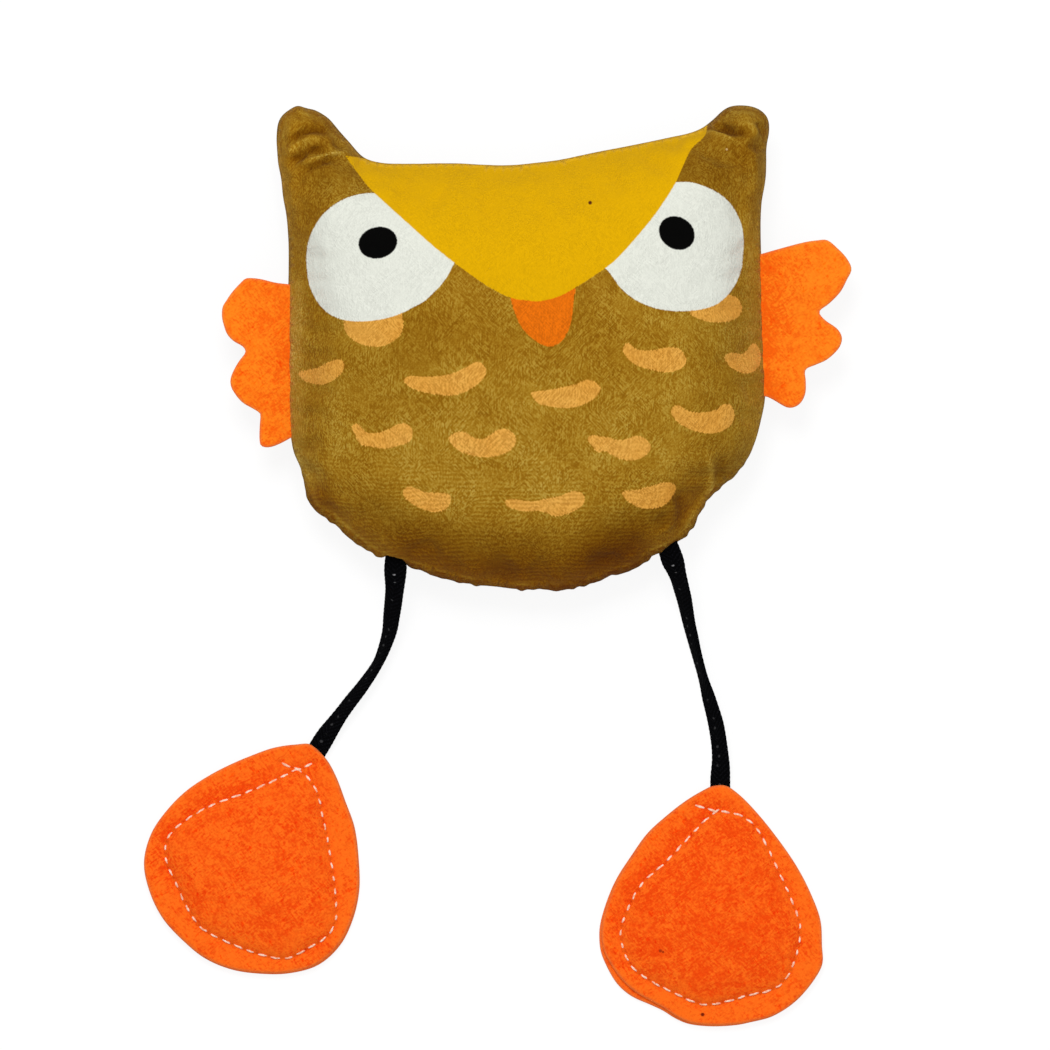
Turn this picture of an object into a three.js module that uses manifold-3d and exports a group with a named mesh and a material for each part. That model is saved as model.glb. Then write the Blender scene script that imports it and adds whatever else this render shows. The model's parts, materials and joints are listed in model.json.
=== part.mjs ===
// Stuffed owl for a cat: a filled plush body with felt wings, tape legs and padded felt feet.
// Millimetres. The toy lies on its back on the plane z = 0: its front faces +Z, its head points to +Y.
// The origin is the middle of the flat that the back is pressed to.
import * as THREE from 'three';
import { mergeVertices } from 'three/addons/utils/BufferGeometryUtils.js';
import Module from 'manifold-3d';

const wasm = await Module();
wasm.setup();

// Body, along its seam
const bodyWidth = 123.2; // between the side seams
const bodyLength = 111.6; // from the bottom seam to the dip between the ears
const earHeight = 15.0; // above that dip
const cornerHeight = 24.6; // from the bottom seam to where the sides turn in
const sideLeftX = -61.2; // from the origin
const bottomSeamY = -62.6; // from the origin
const leftStraightTop = 36.0; // the left side runs straight from this far below the dip
const leftStraightEnd = 35.4; // to this far above the height where it turns in
const rightStraightTop = 30.8; // the same on the right side
const rightStraightEnd = 29.2;
const earSlopeIn = 34.3; // the right ear's long slope starts this far in from its side
const earSlopeUp = 4.6; // and this far above the dip

// Body depth
const seamZ = 15.0; // the two panels meet in this plane
const frontRise = 21.0; // the front swells this far above the seam
const backDrop = 15.5; // the back would swell this far below it, but the table presses it flat at z = 0
const bellyY = -22; // the middle that the panels' mesh rings spread from
const swellPower = 0.55; // less makes a fuller pillow with steeper sides
const plushThickness = 1.2;
const softGap = 0.3; // left between soft pieces that lie against each other
const fillingGap = 0.8; // left round the filling

// Catnip pouch, in a hollow of the filling against the back panel
const pouchLength = 28;
const pouchWidth = 24;
const pouchHeight = 8;
const pouchCorner = 0.6; // 1 is an ellipse, less squares the corners

// Felt wings, sewn in the side seams
const feltThickness = 1.6;
const seamAllowance = 7; // how far tabs and tape ends reach inside a seam
const foldGap = 0.1; // left beside a fold line, past half the thickness that turns on it
const tabInset = 1.0; // a tab is this much shorter than its wing at each end

// Flat braided tape of the legs
const tapeWidth = 5.2;
const tapeThickness = 1.2;
const tapeChamfer = 0.3;
const leftHipIn = 27.7; // from the left side seam in to where that leg leaves the bottom seam
const rightHipIn = 23.7; // the same on the right
const kneeAt = 0.5; // share of each leg's length
const onEdgeFrom = 0.94; // share of the way to the knee at which the tape stands fully on its edge

// Feet
const stitchInset = 5.2; // from the felt's edge to the stitch line
const paddingInset = 3.4; // from the stitch line to the padding's edge
const padRise = 4.4; // the front felt swells this far above its flat rim
const threadThickness = 0.9;
const threadLift = 0.1; // between thread and felt
const threadEndGap = 3.0; // between the thread's two ends, at the foot's tip
const threadSides = 6;

// Mesh fineness
const bodyRings = 7;
const pointsPerSpan = 2; // of the body's edge, between two of its shaping points
const loopSteps = 36;
const lobeSteps = 7;
const tapeSteps = 8;
const domeShares = [0.2, 0.45, 0.7, 0.88]; // how far out the rings of a foot's dome lie
const pouchShares = [0.35, 0.7, 0.92, 1];

const plushMaterial = { color: 0xa37b23, roughness: 0.95, metalness: 0 };
const plushBackMaterial = { color: 0x966e1a, roughness: 0.95, metalness: 0 };
const feltMaterial = { color: 0xfc7a17, roughness: 0.95, metalness: 0 };
const footFeltMaterial = { color: 0xf65c13, roughness: 0.95, metalness: 0 };
const tapeMaterial = { color: 0x0c0c0d, roughness: 0.8, metalness: 0 };
const threadMaterial = { color: 0xf2e6e2, roughness: 0.7, metalness: 0 };
const fillingMaterial = { color: 0xf4f4f0, roughness: 1, metalness: 0 };
const pouchMaterial = { color: 0xe6dcc4, roughness: 0.9, metalness: 0 };

const sideRightX = sideLeftX + bodyWidth;
const middleX = sideLeftX + bodyWidth / 2;
const topSeamY = bottomSeamY + bodyLength;
const earTipY = topSeamY + earHeight;
const cornerY = bottomSeamY + cornerHeight;

// Seam of the body, anticlockwise from the left ear's tip
const bodyEdge = [
  [sideLeftX + 2.6, earTipY],
  [sideLeftX - 1.3, earTipY - 2.1],
  [sideLeftX - 2.9, earTipY - 4.6],
  [sideLeftX - 3.2, topSeamY + 4.0],
  [sideLeftX - 1.6, topSeamY - 10.0],
  [sideLeftX - 0.3, topSeamY - 20.4],
  [sideLeftX, topSeamY - leftStraightTop],
  [sideLeftX + 0.2, cornerY + leftStraightEnd],
  [sideLeftX + 0.5, cornerY + 19.8],
  [sideLeftX + 1.5, cornerY + 10.4],
  [sideLeftX + 4.6, cornerY],
  [sideLeftX + 10.4, cornerY - 6.2],
  [sideLeftX + 21.0, bottomSeamY + 10.1],
  [middleX - 23.7, bottomSeamY + 3.8],
  [middleX - 5.2, bottomSeamY + 0.5],
  [middleX + 7.0, bottomSeamY],
  [middleX + 22.9, bottomSeamY + 3.8],
  [sideRightX - 21.3, bottomSeamY + 12.2],
  [sideRightX - 15.8, cornerY - 4.1],
  [sideRightX - 6.2, cornerY + 6.3],
  [sideRightX - 1.6, cornerY + 15.6],
  [sideRightX + 0.8, cornerY + rightStraightEnd],
  [sideRightX - 0.2, topSeamY - rightStraightTop],
  [sideRightX - 0.2, topSeamY - 12.1],
  [sideRightX + 1.2, topSeamY + 1.4],
  [sideRightX + 1.9, earTipY - 4.6],
  [sideRightX + 0.5, earTipY - 2.1],
  [sideRightX - 5.7, earTipY],
  [sideRightX - 11.2, earTipY - 2.1],
  [sideRightX - 16.6, earTipY - 6.3],
  [sideRightX - earSlopeIn, topSeamY + earSlopeUp],
  [middleX + 3.1, topSeamY + 0.4],
  [middleX - 22.1, topSeamY - 0.4],
  [sideLeftX + 23.1, topSeamY + 0.4],
  [sideLeftX + 18.4, topSeamY + 2.5],
  [sideLeftX + 12.7, earTipY - 6.3],
  [sideLeftX + 8.6, earTipY - 2.1],
];

// Each wing: where the top of its root lies below the dip between the ears, and the three lobes of its edge
// from there to the bottom of its root, as distances out from the side seam and up from the root's top.
const wings = {
  left: {
    side: -1,
    rootBelow: 30.2,
    lobes: [
      [
        [0, 0],
        [8.0, -0.2],
        [13.2, -1.2],
        [16.4, -5.4],
        [17.4, -10.8],
        [15.8, -16.2],
        [12.0, -19.3],
      ],
      [
        [12.0, -19.3],
        [14.6, -22.6],
        [15.5, -27.2],
        [13.8, -31.0],
        [9.2, -33.9],
      ],
      [
        [9.2, -33.9],
        [8.6, -38.0],
        [7.4, -42.0],
        [4.0, -43.8],
        [0, -44.0],
      ],
    ],
  },
  right: {
    side: 1,
    rootBelow: 23.8,
    lobes: [
      [
        [0, 0],
        [5.5, 1.4],
        [12.3, 3.4],
        [18.6, 3.2],
        [22.6, -0.6],
        [23.4, -4.9],
        [21.2, -10.6],
        [15.4, -15.3],
      ],
      [
        [15.4, -15.3],
        [19.8, -17.3],
        [21.1, -21.8],
        [18.8, -26.8],
        [12.8, -29.9],
      ],
      [
        [12.8, -29.9],
        [11.5, -33.0],
        [10.9, -37.0],
        [7.2, -40.3],
        [0, -39.0],
      ],
    ],
  },
};

// Each leg: where its tape leaves the bottom seam, the points that it then passes and where it meets the
// foot. The points lie across and along from where it leaves, at heights above the table.
// The foot's edge is measured from where the tape meets it.
const legs = {
  left: {
    hipX: sideLeftX + leftHipIn,
    route: [
      [-0.3, -5.4, 12.6],
      [-1.1, -11.6, 7.6],
      [-2.3, -17.4, 3.9],
      [-5.1, -24.2, 2.9],
      [-9.1, -30.2, 2.8],
      [-13.5, -35.8, 2.4],
      [-17.5, -41.8, 1.8],
    ],
    ankle: [-19.4, -45.2],
    edge: [
      [0.9, -1.9],
      [-3.4, -1.1],
      [-8.8, -0.9],
      [-16.2, -2.6],
      [-29.1, -8.6],
      [-39.8, -17.4],
      [-45.8, -31.2],
      [-40.8, -45.5],
      [-30.2, -55.6],
      [-16.1, -59.5],
      [-0.8, -57.4],
      [8.3, -45.5],
      [9.9, -31.2],
      [7.3, -17.9],
      [4.4, -9.4],
    ],
    backShift: [0.2, -0.3], // the back felt lies this far from under the front one
  },
  right: {
    hipX: sideRightX - rightHipIn,
    route: [
      [1.3, -4.5, 12.6],
      [2.9, -10.1, 7.8],
      [4.4, -15.9, 4.0],
      [5.9, -21.7, 2.9],
      [7.3, -28.1, 2.8],
      [9.3, -35.5, 2.8],
      [11.5, -43.9, 2.4],
      [12.7, -51.9, 1.8],
    ],
    ankle: [12.8, -57.6],
    edge: [
      [3.4, -2.6],
      [-2.1, -1.1],
      [-7.8, -4.1],
      [-16.1, -11.1],
      [-25.0, -22.1],
      [-30.7, -35.3],
      [-28.3, -50.4],
      [-15.6, -59.0],
      [-2.1, -63.1],
      [12.7, -60.8],
      [24.7, -50.7],
      [25.5, -35.3],
      [19.8, -22.6],
      [12.0, -11.2],
      [7.4, -5.4],
    ],
    backShift: [-0.9, -0.6],
  },
};

const owl = new THREE.Group();

function addMesh(parent, name, geometry, look) {
  const mesh = new THREE.Mesh(geometry, new THREE.MeshStandardMaterial(look));
  mesh.name = name;
  parent.add(mesh);
  return mesh;
}

// A mesh of triangles, collected corner by corner, with coinciding corners merged.
function solidFrom(collect) {
  const corners = [];
  collect((a, b, c) => corners.push(...a.toArray(), ...b.toArray(), ...c.toArray()));
  const geometry = new THREE.BufferGeometry();
  geometry.setAttribute('position', new THREE.Float32BufferAttribute(corners, 3));
  return mergeVertices(geometry, 1e-4);
}

function toManifold(geometry) {
  const bare = geometry.clone();
  bare.deleteAttribute('normal');
  bare.deleteAttribute('uv');
  const merged = mergeVertices(bare, 1e-4);
  const vertProperties = new Float32Array(merged.getAttribute('position').array);
  const triVerts = new Uint32Array(merged.getIndex().array);
  return new wasm.Manifold(new wasm.Mesh({ numProp: 3, vertProperties, triVerts }));
}

function cut(geometry, ...tools) {
  let body = toManifold(geometry);
  for (const tool of tools) {
    body = body.subtract(toManifold(tool));
  }
  const mesh = body.getMesh();
  const result = new THREE.BufferGeometry();
  result.setAttribute('position', new THREE.BufferAttribute(mesh.vertProperties, 3));
  result.setIndex(new THREE.BufferAttribute(mesh.triVerts, 1));
  return result;
}

function curveThrough(points, closed = false) {
  const corners = points.map(([x, y, z = 0]) => new THREE.Vector3(x, y, z));
  return new THREE.CatmullRomCurve3(corners, closed, 'centripetal');
}

// Points of a closed loop moved inwards by a distance. The loop runs anticlockwise seen from +Z.
function insetLoop(loop, distance) {
  const count = loop.length;
  return loop.map((point, i) => {
    const before = loop[(i + count - 1) % count];
    const after = loop[(i + 1) % count];
    const along = new THREE.Vector3().subVectors(after, before).normalize();
    const inwards = new THREE.Vector3(-along.y, along.x, 0);
    return point.clone().addScaledVector(inwards, distance);
  });
}

// A band of triangles between two loops of as many points. It faces the side from which both loops run
// anticlockwise and the first one lies inside the second.
function band(face, inner, outer) {
  const count = inner.length;
  for (let i = 0; i < count; i += 1) {
    const j = (i + 1) % count;
    face(inner[i], outer[i], outer[j]);
    face(inner[i], outer[j], inner[j]);
  }
}

// A closed solid from a stack of loops that spread from a first point and close on a last one.
function stackedSolid(first, loops, last) {
  return solidFrom((face) => {
    const count = loops[0].length;
    const end = loops[loops.length - 1];
    for (let i = 0; i < count; i += 1) {
      const j = (i + 1) % count;
      face(first, loops[0][i], loops[0][j]);
      face(last, end[j], end[i]);
    }
    for (let k = 1; k < loops.length; k += 1) {
      band(face, loops[k - 1], loops[k]);
    }
  });
}

// How much room a point has inside a closed loop: the mean over all directions of how near the loop is,
// turned into a length. It is the radius at the middle of a circle and falls smoothly to 0 at the loop.
function roomInside(point, loop) {
  let nearness = 0;
  loop.forEach((a, i) => {
    const b = loop[(i + 1) % loop.length];
    const [toA, toB] = [a, b].map((end) => new THREE.Vector2(end.x - point.x, end.y - point.y));
    const angle = Math.atan2(toA.cross(toB), toA.dot(toB));
    nearness += (angle * 2) / (toA.length() + toB.length());
  });
  return (2 * Math.PI) / nearness;
}

const seamCurve = curveThrough(bodyEdge, true);
const seamPoints = seamCurve.getPoints(bodyEdge.length * 12);
const seamLoop = seamCurve.getPoints(bodyEdge.length * pointsPerSpan).slice(0, -1);

// A swollen sheet over the body's seam: rings from its middle out to the seam, which is the last ring.
// It rises above the seam when rise is positive. When it drops below, the table stops it at z = 0.
function pillow(rise) {
  const middle = new THREE.Vector3(middleX, bellyY, 0);
  const fullRoom = roomInside(new THREE.Vector3(middleX, 0, 0), seamLoop);
  const lift = (point) => {
    const height = rise * (roomInside(point, seamLoop) / fullRoom) ** swellPower;
    return point.setZ(Math.max(0, seamZ + height));
  };
  const rings = Array.from({ length: bodyRings - 1 }, (_, k) => {
    const share = Math.sin((Math.PI * (k + 1)) / (2 * bodyRings)); // closer rings near the seam
    return seamLoop.map((point) => lift(middle.clone().lerp(point, share)));
  });
  rings.push(seamLoop.map((point) => point.clone().setZ(seamZ)));
  return { middle: lift(middle.clone()), rings };
}

// The same sheet moved square to itself into the body, and no nearer to the table than it was moved
function innerPillow({ middle, rings }, distance) {
  const side = Math.sign(middle.z - seamZ);
  const count = seamLoop.length;
  const moved = rings.slice(0, -1).map((ring, k) => ring.map((point, i) => {
    const around = new THREE.Vector3().subVectors(ring[(i + 1) % count], ring[(i + count - 1) % count]);
    const outwards = new THREE.Vector3().subVectors(rings[k + 1][i], k ? rings[k - 1][i] : middle);
    const inner = outwards.cross(around).normalize().multiplyScalar(-side * distance).add(point);
    return inner.setZ(Math.max(distance, inner.z));
  }));
  moved.push(insetLoop(rings.at(-1), distance));
  return { middle: middle.clone().setZ(middle.z - side * distance), rings: moved };
}

// A closed body between two sheets, from the upper one's middle to the lower one's
function between(upper, lower) {
  return stackedSolid(upper.middle, [...upper.rings, ...lower.rings.toReversed()], lower.middle);
}

const frontSheet = pillow(frontRise);
const backSheet = pillow(-backDrop);

function makeFilling() {
  const skin = plushThickness + fillingGap;
  const lower = innerPillow(backSheet, skin);
  lower.rings.pop(); // the seam's ring is the upper sheet's
  return between(innerPillow(frontSheet, skin), lower);
}

const pouchBase = plushThickness + fillingGap;

// The pouch is a pillow with a flat bottom. Grown by the gap and carried down, it is the hollow that it
// lies in.
function makePouch(grow, floor) {
  const loopAt = (share, z) => Array.from({ length: loopSteps }, (_, i) => {
    const angle = (2 * Math.PI * i) / loopSteps;
    const squared = (c) => Math.sign(c) * Math.abs(c) ** pouchCorner;
    return new THREE.Vector3(
      middleX + squared(Math.cos(angle)) * (pouchWidth / 2 + grow) * share,
      squared(Math.sin(angle)) * (pouchLength / 2 + grow) * share,
      z,
    );
  });
  const top = pouchBase + pouchHeight + grow;
  const seam = pouchBase + pouchHeight / 3;
  const loops = pouchShares.map((share) => loopAt(share, seam + (top - seam) * Math.sqrt(1 - share ** 2)));
  loops.push(loopAt(1, floor));
  return stackedSolid(new THREE.Vector3(middleX, 0, top), loops, new THREE.Vector3(middleX, 0, floor));
}

const slotBox = (width, length, height) => new THREE.BoxGeometry(width, length, height);

// The lowest point of the bottom seam near a distance across
function bottomSeamAt(x, reach) {
  const near = seamPoints.filter((point) => point.y < cornerY && Math.abs(point.x - x) < reach);
  return Math.min(...near.map((point) => point.y));
}

// The furthest that a side seam reaches out between two heights; side is -1 for left and 1 for right.
function sideSeamReach(side, low, high) {
  const near = seamPoints.filter((point) => point.y > low && point.y < high);
  return Math.max(...near.map((point) => point.x * side));
}

// Felt wing: a free piece that folds on a line beside the seam, and a tab caught in the seam
function makeWing({ side, rootBelow, lobes }) {
  const high = topSeamY - rootBelow;
  const low = high + lobes.at(-1).at(-1)[1];
  const seam = sideSeamReach(side, low, high);
  const fold = seam + feltThickness / 2 + foldGap;
  const outline = lobes.flatMap((lobe, i) => {
    const points = curveThrough(lobe).getSpacedPoints(lobeSteps);
    return i < lobes.length - 1 ? points.slice(0, -1) : points;
  });
  const shape = new THREE.Shape(outline.map(({ x, y }) => new THREE.Vector2(x * side, high + y)));
  const felt = new THREE.ExtrudeGeometry(shape, { depth: feltThickness, bevelEnabled: false });
  felt.translate(fold * side, 0, seamZ - feltThickness / 2);
  const middle = (high + low) / 2;
  const tabLength = high - low - 2 * tabInset;
  const tab = slotBox(seamAllowance, tabLength, feltThickness);
  const tabX = (seam - seamAllowance / 2) * side;
  tab.translate(tabX, middle, seamZ);
  const slot = slotBox(
    seamAllowance + 2 * (foldGap + feltThickness),
    tabLength + 2 * softGap,
    feltThickness + 2 * softGap,
  );
  slot.translate(tabX, middle, seamZ);
  return { felt, tab, slot };
}

// Section of the tape, across its width and thickness
function tapeSection() {
  const [w, h, c] = [tapeWidth / 2, tapeThickness / 2, tapeChamfer];
  return new THREE.Shape([
    new THREE.Vector2(-w + c, -h),
    new THREE.Vector2(w - c, -h),
    new THREE.Vector2(w, -h + c),
    new THREE.Vector2(w, h - c),
    new THREE.Vector2(w - c, h),
    new THREE.Vector2(-w + c, h),
    new THREE.Vector2(-w, h - c),
    new THREE.Vector2(-w, -h + c),
  ]);
}

// A stretch of tape along a curve, between two shares of its length. The tape is flat at both ends of the
// curve and on its edge at the knee.
function tapeStretch(curve, from, to) {
  const geometry = new THREE.ExtrudeGeometry(tapeSection(), {
    depth: 1,
    steps: tapeSteps,
    bevelEnabled: false,
  });
  const up = new THREE.Vector3(0, 0, 1);
  const place = geometry.getAttribute('position');
  for (let i = 0; i < place.count; i += 1) {
    const share = from + (to - from) * place.getZ(i);
    const turned = share < kneeAt ? share / kneeAt : (1 - share) / (1 - kneeAt);
    const tilt = (Math.PI / 2) * THREE.MathUtils.smoothstep(turned, 0, onEdgeFrom);
    const along = curve.getTangentAt(share);
    const level = new THREE.Vector3().crossVectors(up, along).normalize();
    const raised = new THREE.Vector3().crossVectors(along, level);
    const across = level.clone().multiplyScalar(Math.cos(tilt)).addScaledVector(raised, Math.sin(tilt));
    const through = new THREE.Vector3().crossVectors(along, across);
    const point = curve.getPointAt(share)
      .addScaledVector(across, place.getX(i))
      .addScaledVector(through, place.getY(i));
    place.setXYZ(i, point.x, point.y, point.z);
  }
  geometry.deleteAttribute('normal');
  geometry.deleteAttribute('uv');
  return mergeVertices(geometry, 1e-4);
}

// A straight end of tape, lying flat, from a point along a level direction
function tapeEnd(start, direction, length) {
  const geometry = new THREE.ExtrudeGeometry(tapeSection(), { depth: length, bevelEnabled: false });
  return layAlong(geometry, start, direction);
}

// Turns what was built along +Z, with its width along X, to run level from a point.
function layAlong(geometry, start, direction) {
  const along = direction.clone().setZ(0).normalize();
  const across = new THREE.Vector3(-along.y, along.x, 0);
  geometry.applyMatrix4(new THREE.Matrix4().makeBasis(across, new THREE.Vector3(0, 0, 1), along));
  geometry.translate(start.x, start.y, start.z);
  return geometry;
}

// The room that an end of tape needs in the pieces that hold it
function tapeSlot(start, direction) {
  const length = seamAllowance + softGap + tapeThickness;
  const slot = slotBox(tapeWidth + 2 * softGap, tapeThickness + 2 * softGap, length);
  slot.translate(0, 0, length / 2 - tapeThickness);
  return layAlong(slot, start, direction);
}

const foldReach = tapeThickness / 2 + softGap; // from a fold's axis to the piece on its other side

function makeFoot(name, { edge, backShift }, along) {
  const foot = new THREE.Group();
  const start = along.clone().multiplyScalar(foldReach).setZ(feltThickness);
  const slot = tapeSlot(start, along);
  const rim = curveThrough(edge, true).getSpacedPoints(loopSteps).slice(0, loopSteps);
  const stitchLine = insetLoop(rim, stitchInset);
  const domeLine = insetLoop(rim, stitchInset + threadThickness); // leaves the thread its channel
  const padLine = insetLoop(rim, stitchInset + paddingInset);
  const centre = padLine.reduce((sum, point) => sum.add(point), new THREE.Vector3()).divideScalar(loopSteps);
  const ring = (loop, share, z) => loop.map((point) => point.clone().lerp(centre, 1 - share).setZ(z));
  const dome = (share) => Math.sqrt(1 - share ** 2);
  const base = feltThickness;
  const rimTop = 2 * feltThickness;

  const outside = domeShares.map((share) => ring(domeLine, share, rimTop + padRise * dome(share)));
  const inside = domeShares.map((share) => ring(domeLine, share, base + padRise * dome(share))).reverse();
  const outerRim = [ring(domeLine, 1, rimTop), ring(rim, 1, rimTop)];
  const innerRim = [ring(rim, 1, base), ring(domeLine, 1, base)];
  const front = stackedSolid(
    centre.clone().setZ(rimTop + padRise),
    [...outside, ...outerRim, ...innerRim, ...inside],
    centre.clone().setZ(base + padRise),
  );
  addMesh(foot, `${name}_front`, cut(front, slot), footFeltMaterial);

  const backRim = rim.map((point) => new THREE.Vector2(point.x + backShift[0], point.y + backShift[1]));
  const back = new THREE.ExtrudeGeometry(new THREE.Shape(backRim), {
    depth: feltThickness,
    bevelEnabled: false,
  });
  addMesh(foot, `${name}_back`, cut(back, slot), footFeltMaterial);

  const padTop = padRise - softGap;
  const padRings = domeShares.map((share) => ring(padLine, share, base + padTop * dome(share)));
  const padding = stackedSolid(
    centre.clone().setZ(base + padTop),
    [...padRings, ring(padLine, 1, base)],
    centre.clone().setZ(base),
  );
  addMesh(foot, `${name}_padding`, padding, fillingMaterial);

  const threadZ = rimTop + threadThickness / 2 + threadLift;
  const threadLoop = stitchLine.map(({ x, y }) => [x, y, threadZ]);
  const threadCurve = curveThrough(threadLoop, true);
  const trim = threadEndGap / threadCurve.getLength() / 2;
  const threadPoints = Array.from({ length: loopSteps + 1 }, (_, i) => (
    threadCurve.getPointAt(trim + ((1 - 2 * trim) * i) / loopSteps)
  ));
  const corner = (i) => {
    const angle = (2 * Math.PI * i) / threadSides;
    return new THREE.Vector2(Math.cos(angle), Math.sin(angle)).multiplyScalar(threadThickness / 2);
  };
  const section = new THREE.Shape(Array.from({ length: threadSides }, (_, i) => corner(i)));
  const thread = new THREE.ExtrudeGeometry(section, {
    steps: loopSteps,
    extrudePath: new THREE.CatmullRomCurve3(threadPoints, false, 'centripetal'),
  });
  addMesh(foot, `${name}_stitching`, thread, threadMaterial);
  return foot;
}

function makeLeg(name, leg) {
  const seamY = bottomSeamAt(leg.hipX, tapeWidth / 2);
  const hip = [leg.hipX, seamY - foldReach, seamZ];
  const fromHip = ([across, along, height]) => [hip[0] + across, hip[1] + along, height];
  const ankle = fromHip([...leg.ankle, feltThickness]);
  const curve = curveThrough([hip, ...leg.route.map(fromHip), ankle]);
  const kneeGap = foldReach / curve.getLength();
  const bodyEnd = new THREE.Vector3(leg.hipX, seamY, seamZ);
  const intoBody = new THREE.Vector3(0, 1, 0);
  const intoFoot = curve.getTangentAt(1).setZ(0).normalize();

  addMesh(owl, `leg_${name}_body_end`, tapeEnd(bodyEnd, intoBody, seamAllowance), tapeMaterial);
  addMesh(owl, `leg_${name}_upper`, tapeStretch(curve, 0, kneeAt - kneeGap), tapeMaterial);
  addMesh(owl, `leg_${name}_lower`, tapeStretch(curve, kneeAt, 1), tapeMaterial);

  const foot = makeFoot(`foot_${name}`, leg, intoFoot);
  const footEndStart = intoFoot.clone().multiplyScalar(foldReach).setZ(feltThickness);
  addMesh(foot, `leg_${name}_foot_end`, tapeEnd(footEndStart, intoFoot, seamAllowance), tapeMaterial);
  foot.position.set(ankle[0], ankle[1], 0);
  owl.add(foot);
  return tapeSlot(bodyEnd, intoBody);
}

const slots = [];
for (const [name, wing] of Object.entries(wings)) {
  const { felt, tab, slot } = makeWing(wing);
  addMesh(owl, `wing_${name}`, felt, feltMaterial);
  addMesh(owl, `wing_${name}_seam_tab`, tab, feltMaterial);
  slots.push(slot);
}
for (const [name, leg] of Object.entries(legs)) {
  slots.push(makeLeg(name, leg));
}
const frontPanel = between(frontSheet, innerPillow(frontSheet, plushThickness));
const backPanel = between(innerPillow(backSheet, plushThickness), backSheet);
addMesh(owl, 'front_panel', cut(frontPanel, ...slots), plushMaterial);
addMesh(owl, 'back_panel', cut(backPanel, ...slots), plushBackMaterial);
addMesh(owl, 'filling', cut(makeFilling(), ...slots, makePouch(softGap, 0)), fillingMaterial);
addMesh(owl, 'catnip_pouch', makePouch(0, pouchBase), pouchMaterial);

export default owl;
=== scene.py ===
"""Stuffed owl for a cat, on its back: printed plush body, felt wings, tape legs and padded felt feet."""
import json
import math
from functools import partial

import bpy
import numpy as np
from bpy.props import FloatProperty, FloatVectorProperty, PointerProperty
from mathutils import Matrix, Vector
from mathutils.bvhtree import BVHTree
from mathutils.geometry import delaunay_2d_cdt


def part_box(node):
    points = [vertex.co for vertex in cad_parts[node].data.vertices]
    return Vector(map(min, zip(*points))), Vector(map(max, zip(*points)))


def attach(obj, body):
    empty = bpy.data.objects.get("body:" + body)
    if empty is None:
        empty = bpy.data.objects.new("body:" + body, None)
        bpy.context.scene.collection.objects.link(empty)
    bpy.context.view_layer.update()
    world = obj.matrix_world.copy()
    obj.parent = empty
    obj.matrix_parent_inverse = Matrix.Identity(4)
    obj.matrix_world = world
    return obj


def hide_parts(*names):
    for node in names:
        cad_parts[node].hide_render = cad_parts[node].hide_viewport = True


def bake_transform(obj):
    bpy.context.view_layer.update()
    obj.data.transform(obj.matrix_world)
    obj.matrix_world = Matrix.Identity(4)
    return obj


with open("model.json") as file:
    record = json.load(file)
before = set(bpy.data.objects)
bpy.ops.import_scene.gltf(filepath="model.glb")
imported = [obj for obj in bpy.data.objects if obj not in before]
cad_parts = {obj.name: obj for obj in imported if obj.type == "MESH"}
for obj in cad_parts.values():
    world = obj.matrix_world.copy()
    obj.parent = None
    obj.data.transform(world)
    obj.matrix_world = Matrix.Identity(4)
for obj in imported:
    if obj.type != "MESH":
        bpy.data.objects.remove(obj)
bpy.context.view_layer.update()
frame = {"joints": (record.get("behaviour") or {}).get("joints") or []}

bl_info = {
    "name": "Owl cat toy",
    "version": (1, 0, 0),
    "blender": (4, 5, 0),
    "location": "View3D > Sidebar > Owl toy",
    "description": "Makes a stuffed owl for a cat, piece by piece",
    "category": "Add Mesh",
}

MM = 0.001

# Outlines are in millimetres, seen from above. The edges of body, wings and feet run anticlockwise
BODY_EDGE = [
    (-58.7, 63.6), (-60.4, 62.5), (-62.5, 61.1), (-63.6, 59.3), (-63.9, 57.0), (-64.0, 54.6),
    (-63.8, 51.7), (-63.5, 48.0), (-62.7, 44.6), (-62.4, 40.6), (-61.5, 35.7), (-61.0, 30.4),
    (-60.8, 26.0), (-60.9, 15.6), (-60.9, 2.6), (-60.9, -13.0), (-60.3, -22.4), (-59.2, -27.5),
    (-57.6, -31.0), (-56.6, -35.5), (-56.0, -38.8), (-54.4, -41.3), (-51.1, -43.5), (-46.2, -47.7),
    (-40.9, -51.8), (-34.2, -55.3), (-26.9, -57.2), (-22.0, -58.7), (-17.0, -60.1), (-14.4, -60.8),
    (-7.0, -61.5), (-2.0, -62.2), (2.9, -62.1), (5.9, -61.9), (8.5, -62.6), (10.9, -62.3),
    (17.8, -60.6), (22.9, -58.5), (27.7, -57.2), (30.7, -55.9), (32.3, -54.2), (35.2, -52.8),
    (40.7, -50.2), (44.1, -45.7), (46.0, -41.6), (48.0, -38.6), (50.9, -35.9), (55.6, -31.7),
    (57.9, -28.5), (59.7, -24.6), (60.9, -20.9), (61.8, -16.9), (62.5, -13.5), (62.6, -5.2),
    (62.2, 2.6), (61.8, 18.2), (61.4, 31.2), (61.7, 38.8), (62.7, 44.2), (62.9, 49.3),
    (62.9, 53.2), (63.5, 55.6), (63.7, 58.5), (63.3, 60.5), (62.1, 61.8), (60.5, 62.8),
    (57.4, 63.4), (54.4, 63.3), (52.7, 62.8), (50.3, 60.5), (48.3, 58.7), (46.3, 57.3),
    (43.4, 56.2), (37.9, 55.0), (27.8, 52.9), (17.4, 50.9), (9.5, 49.2), (3.0, 48.4), (-3.5, 47.8),
    (-10.0, 47.9), (-17.8, 48.3), (-26.9, 48.2), (-33.4, 48.2), (-37.0, 48.4), (-39.2, 48.9),
    (-41.5, 49.6), (-43.2, 51.2), (-45.1, 53.5), (-48.0, 56.7), (-50.8, 60.1), (-52.6, 61.3),
    (-54.6, 62.4), (-56.9, 62.6),
]

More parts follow.
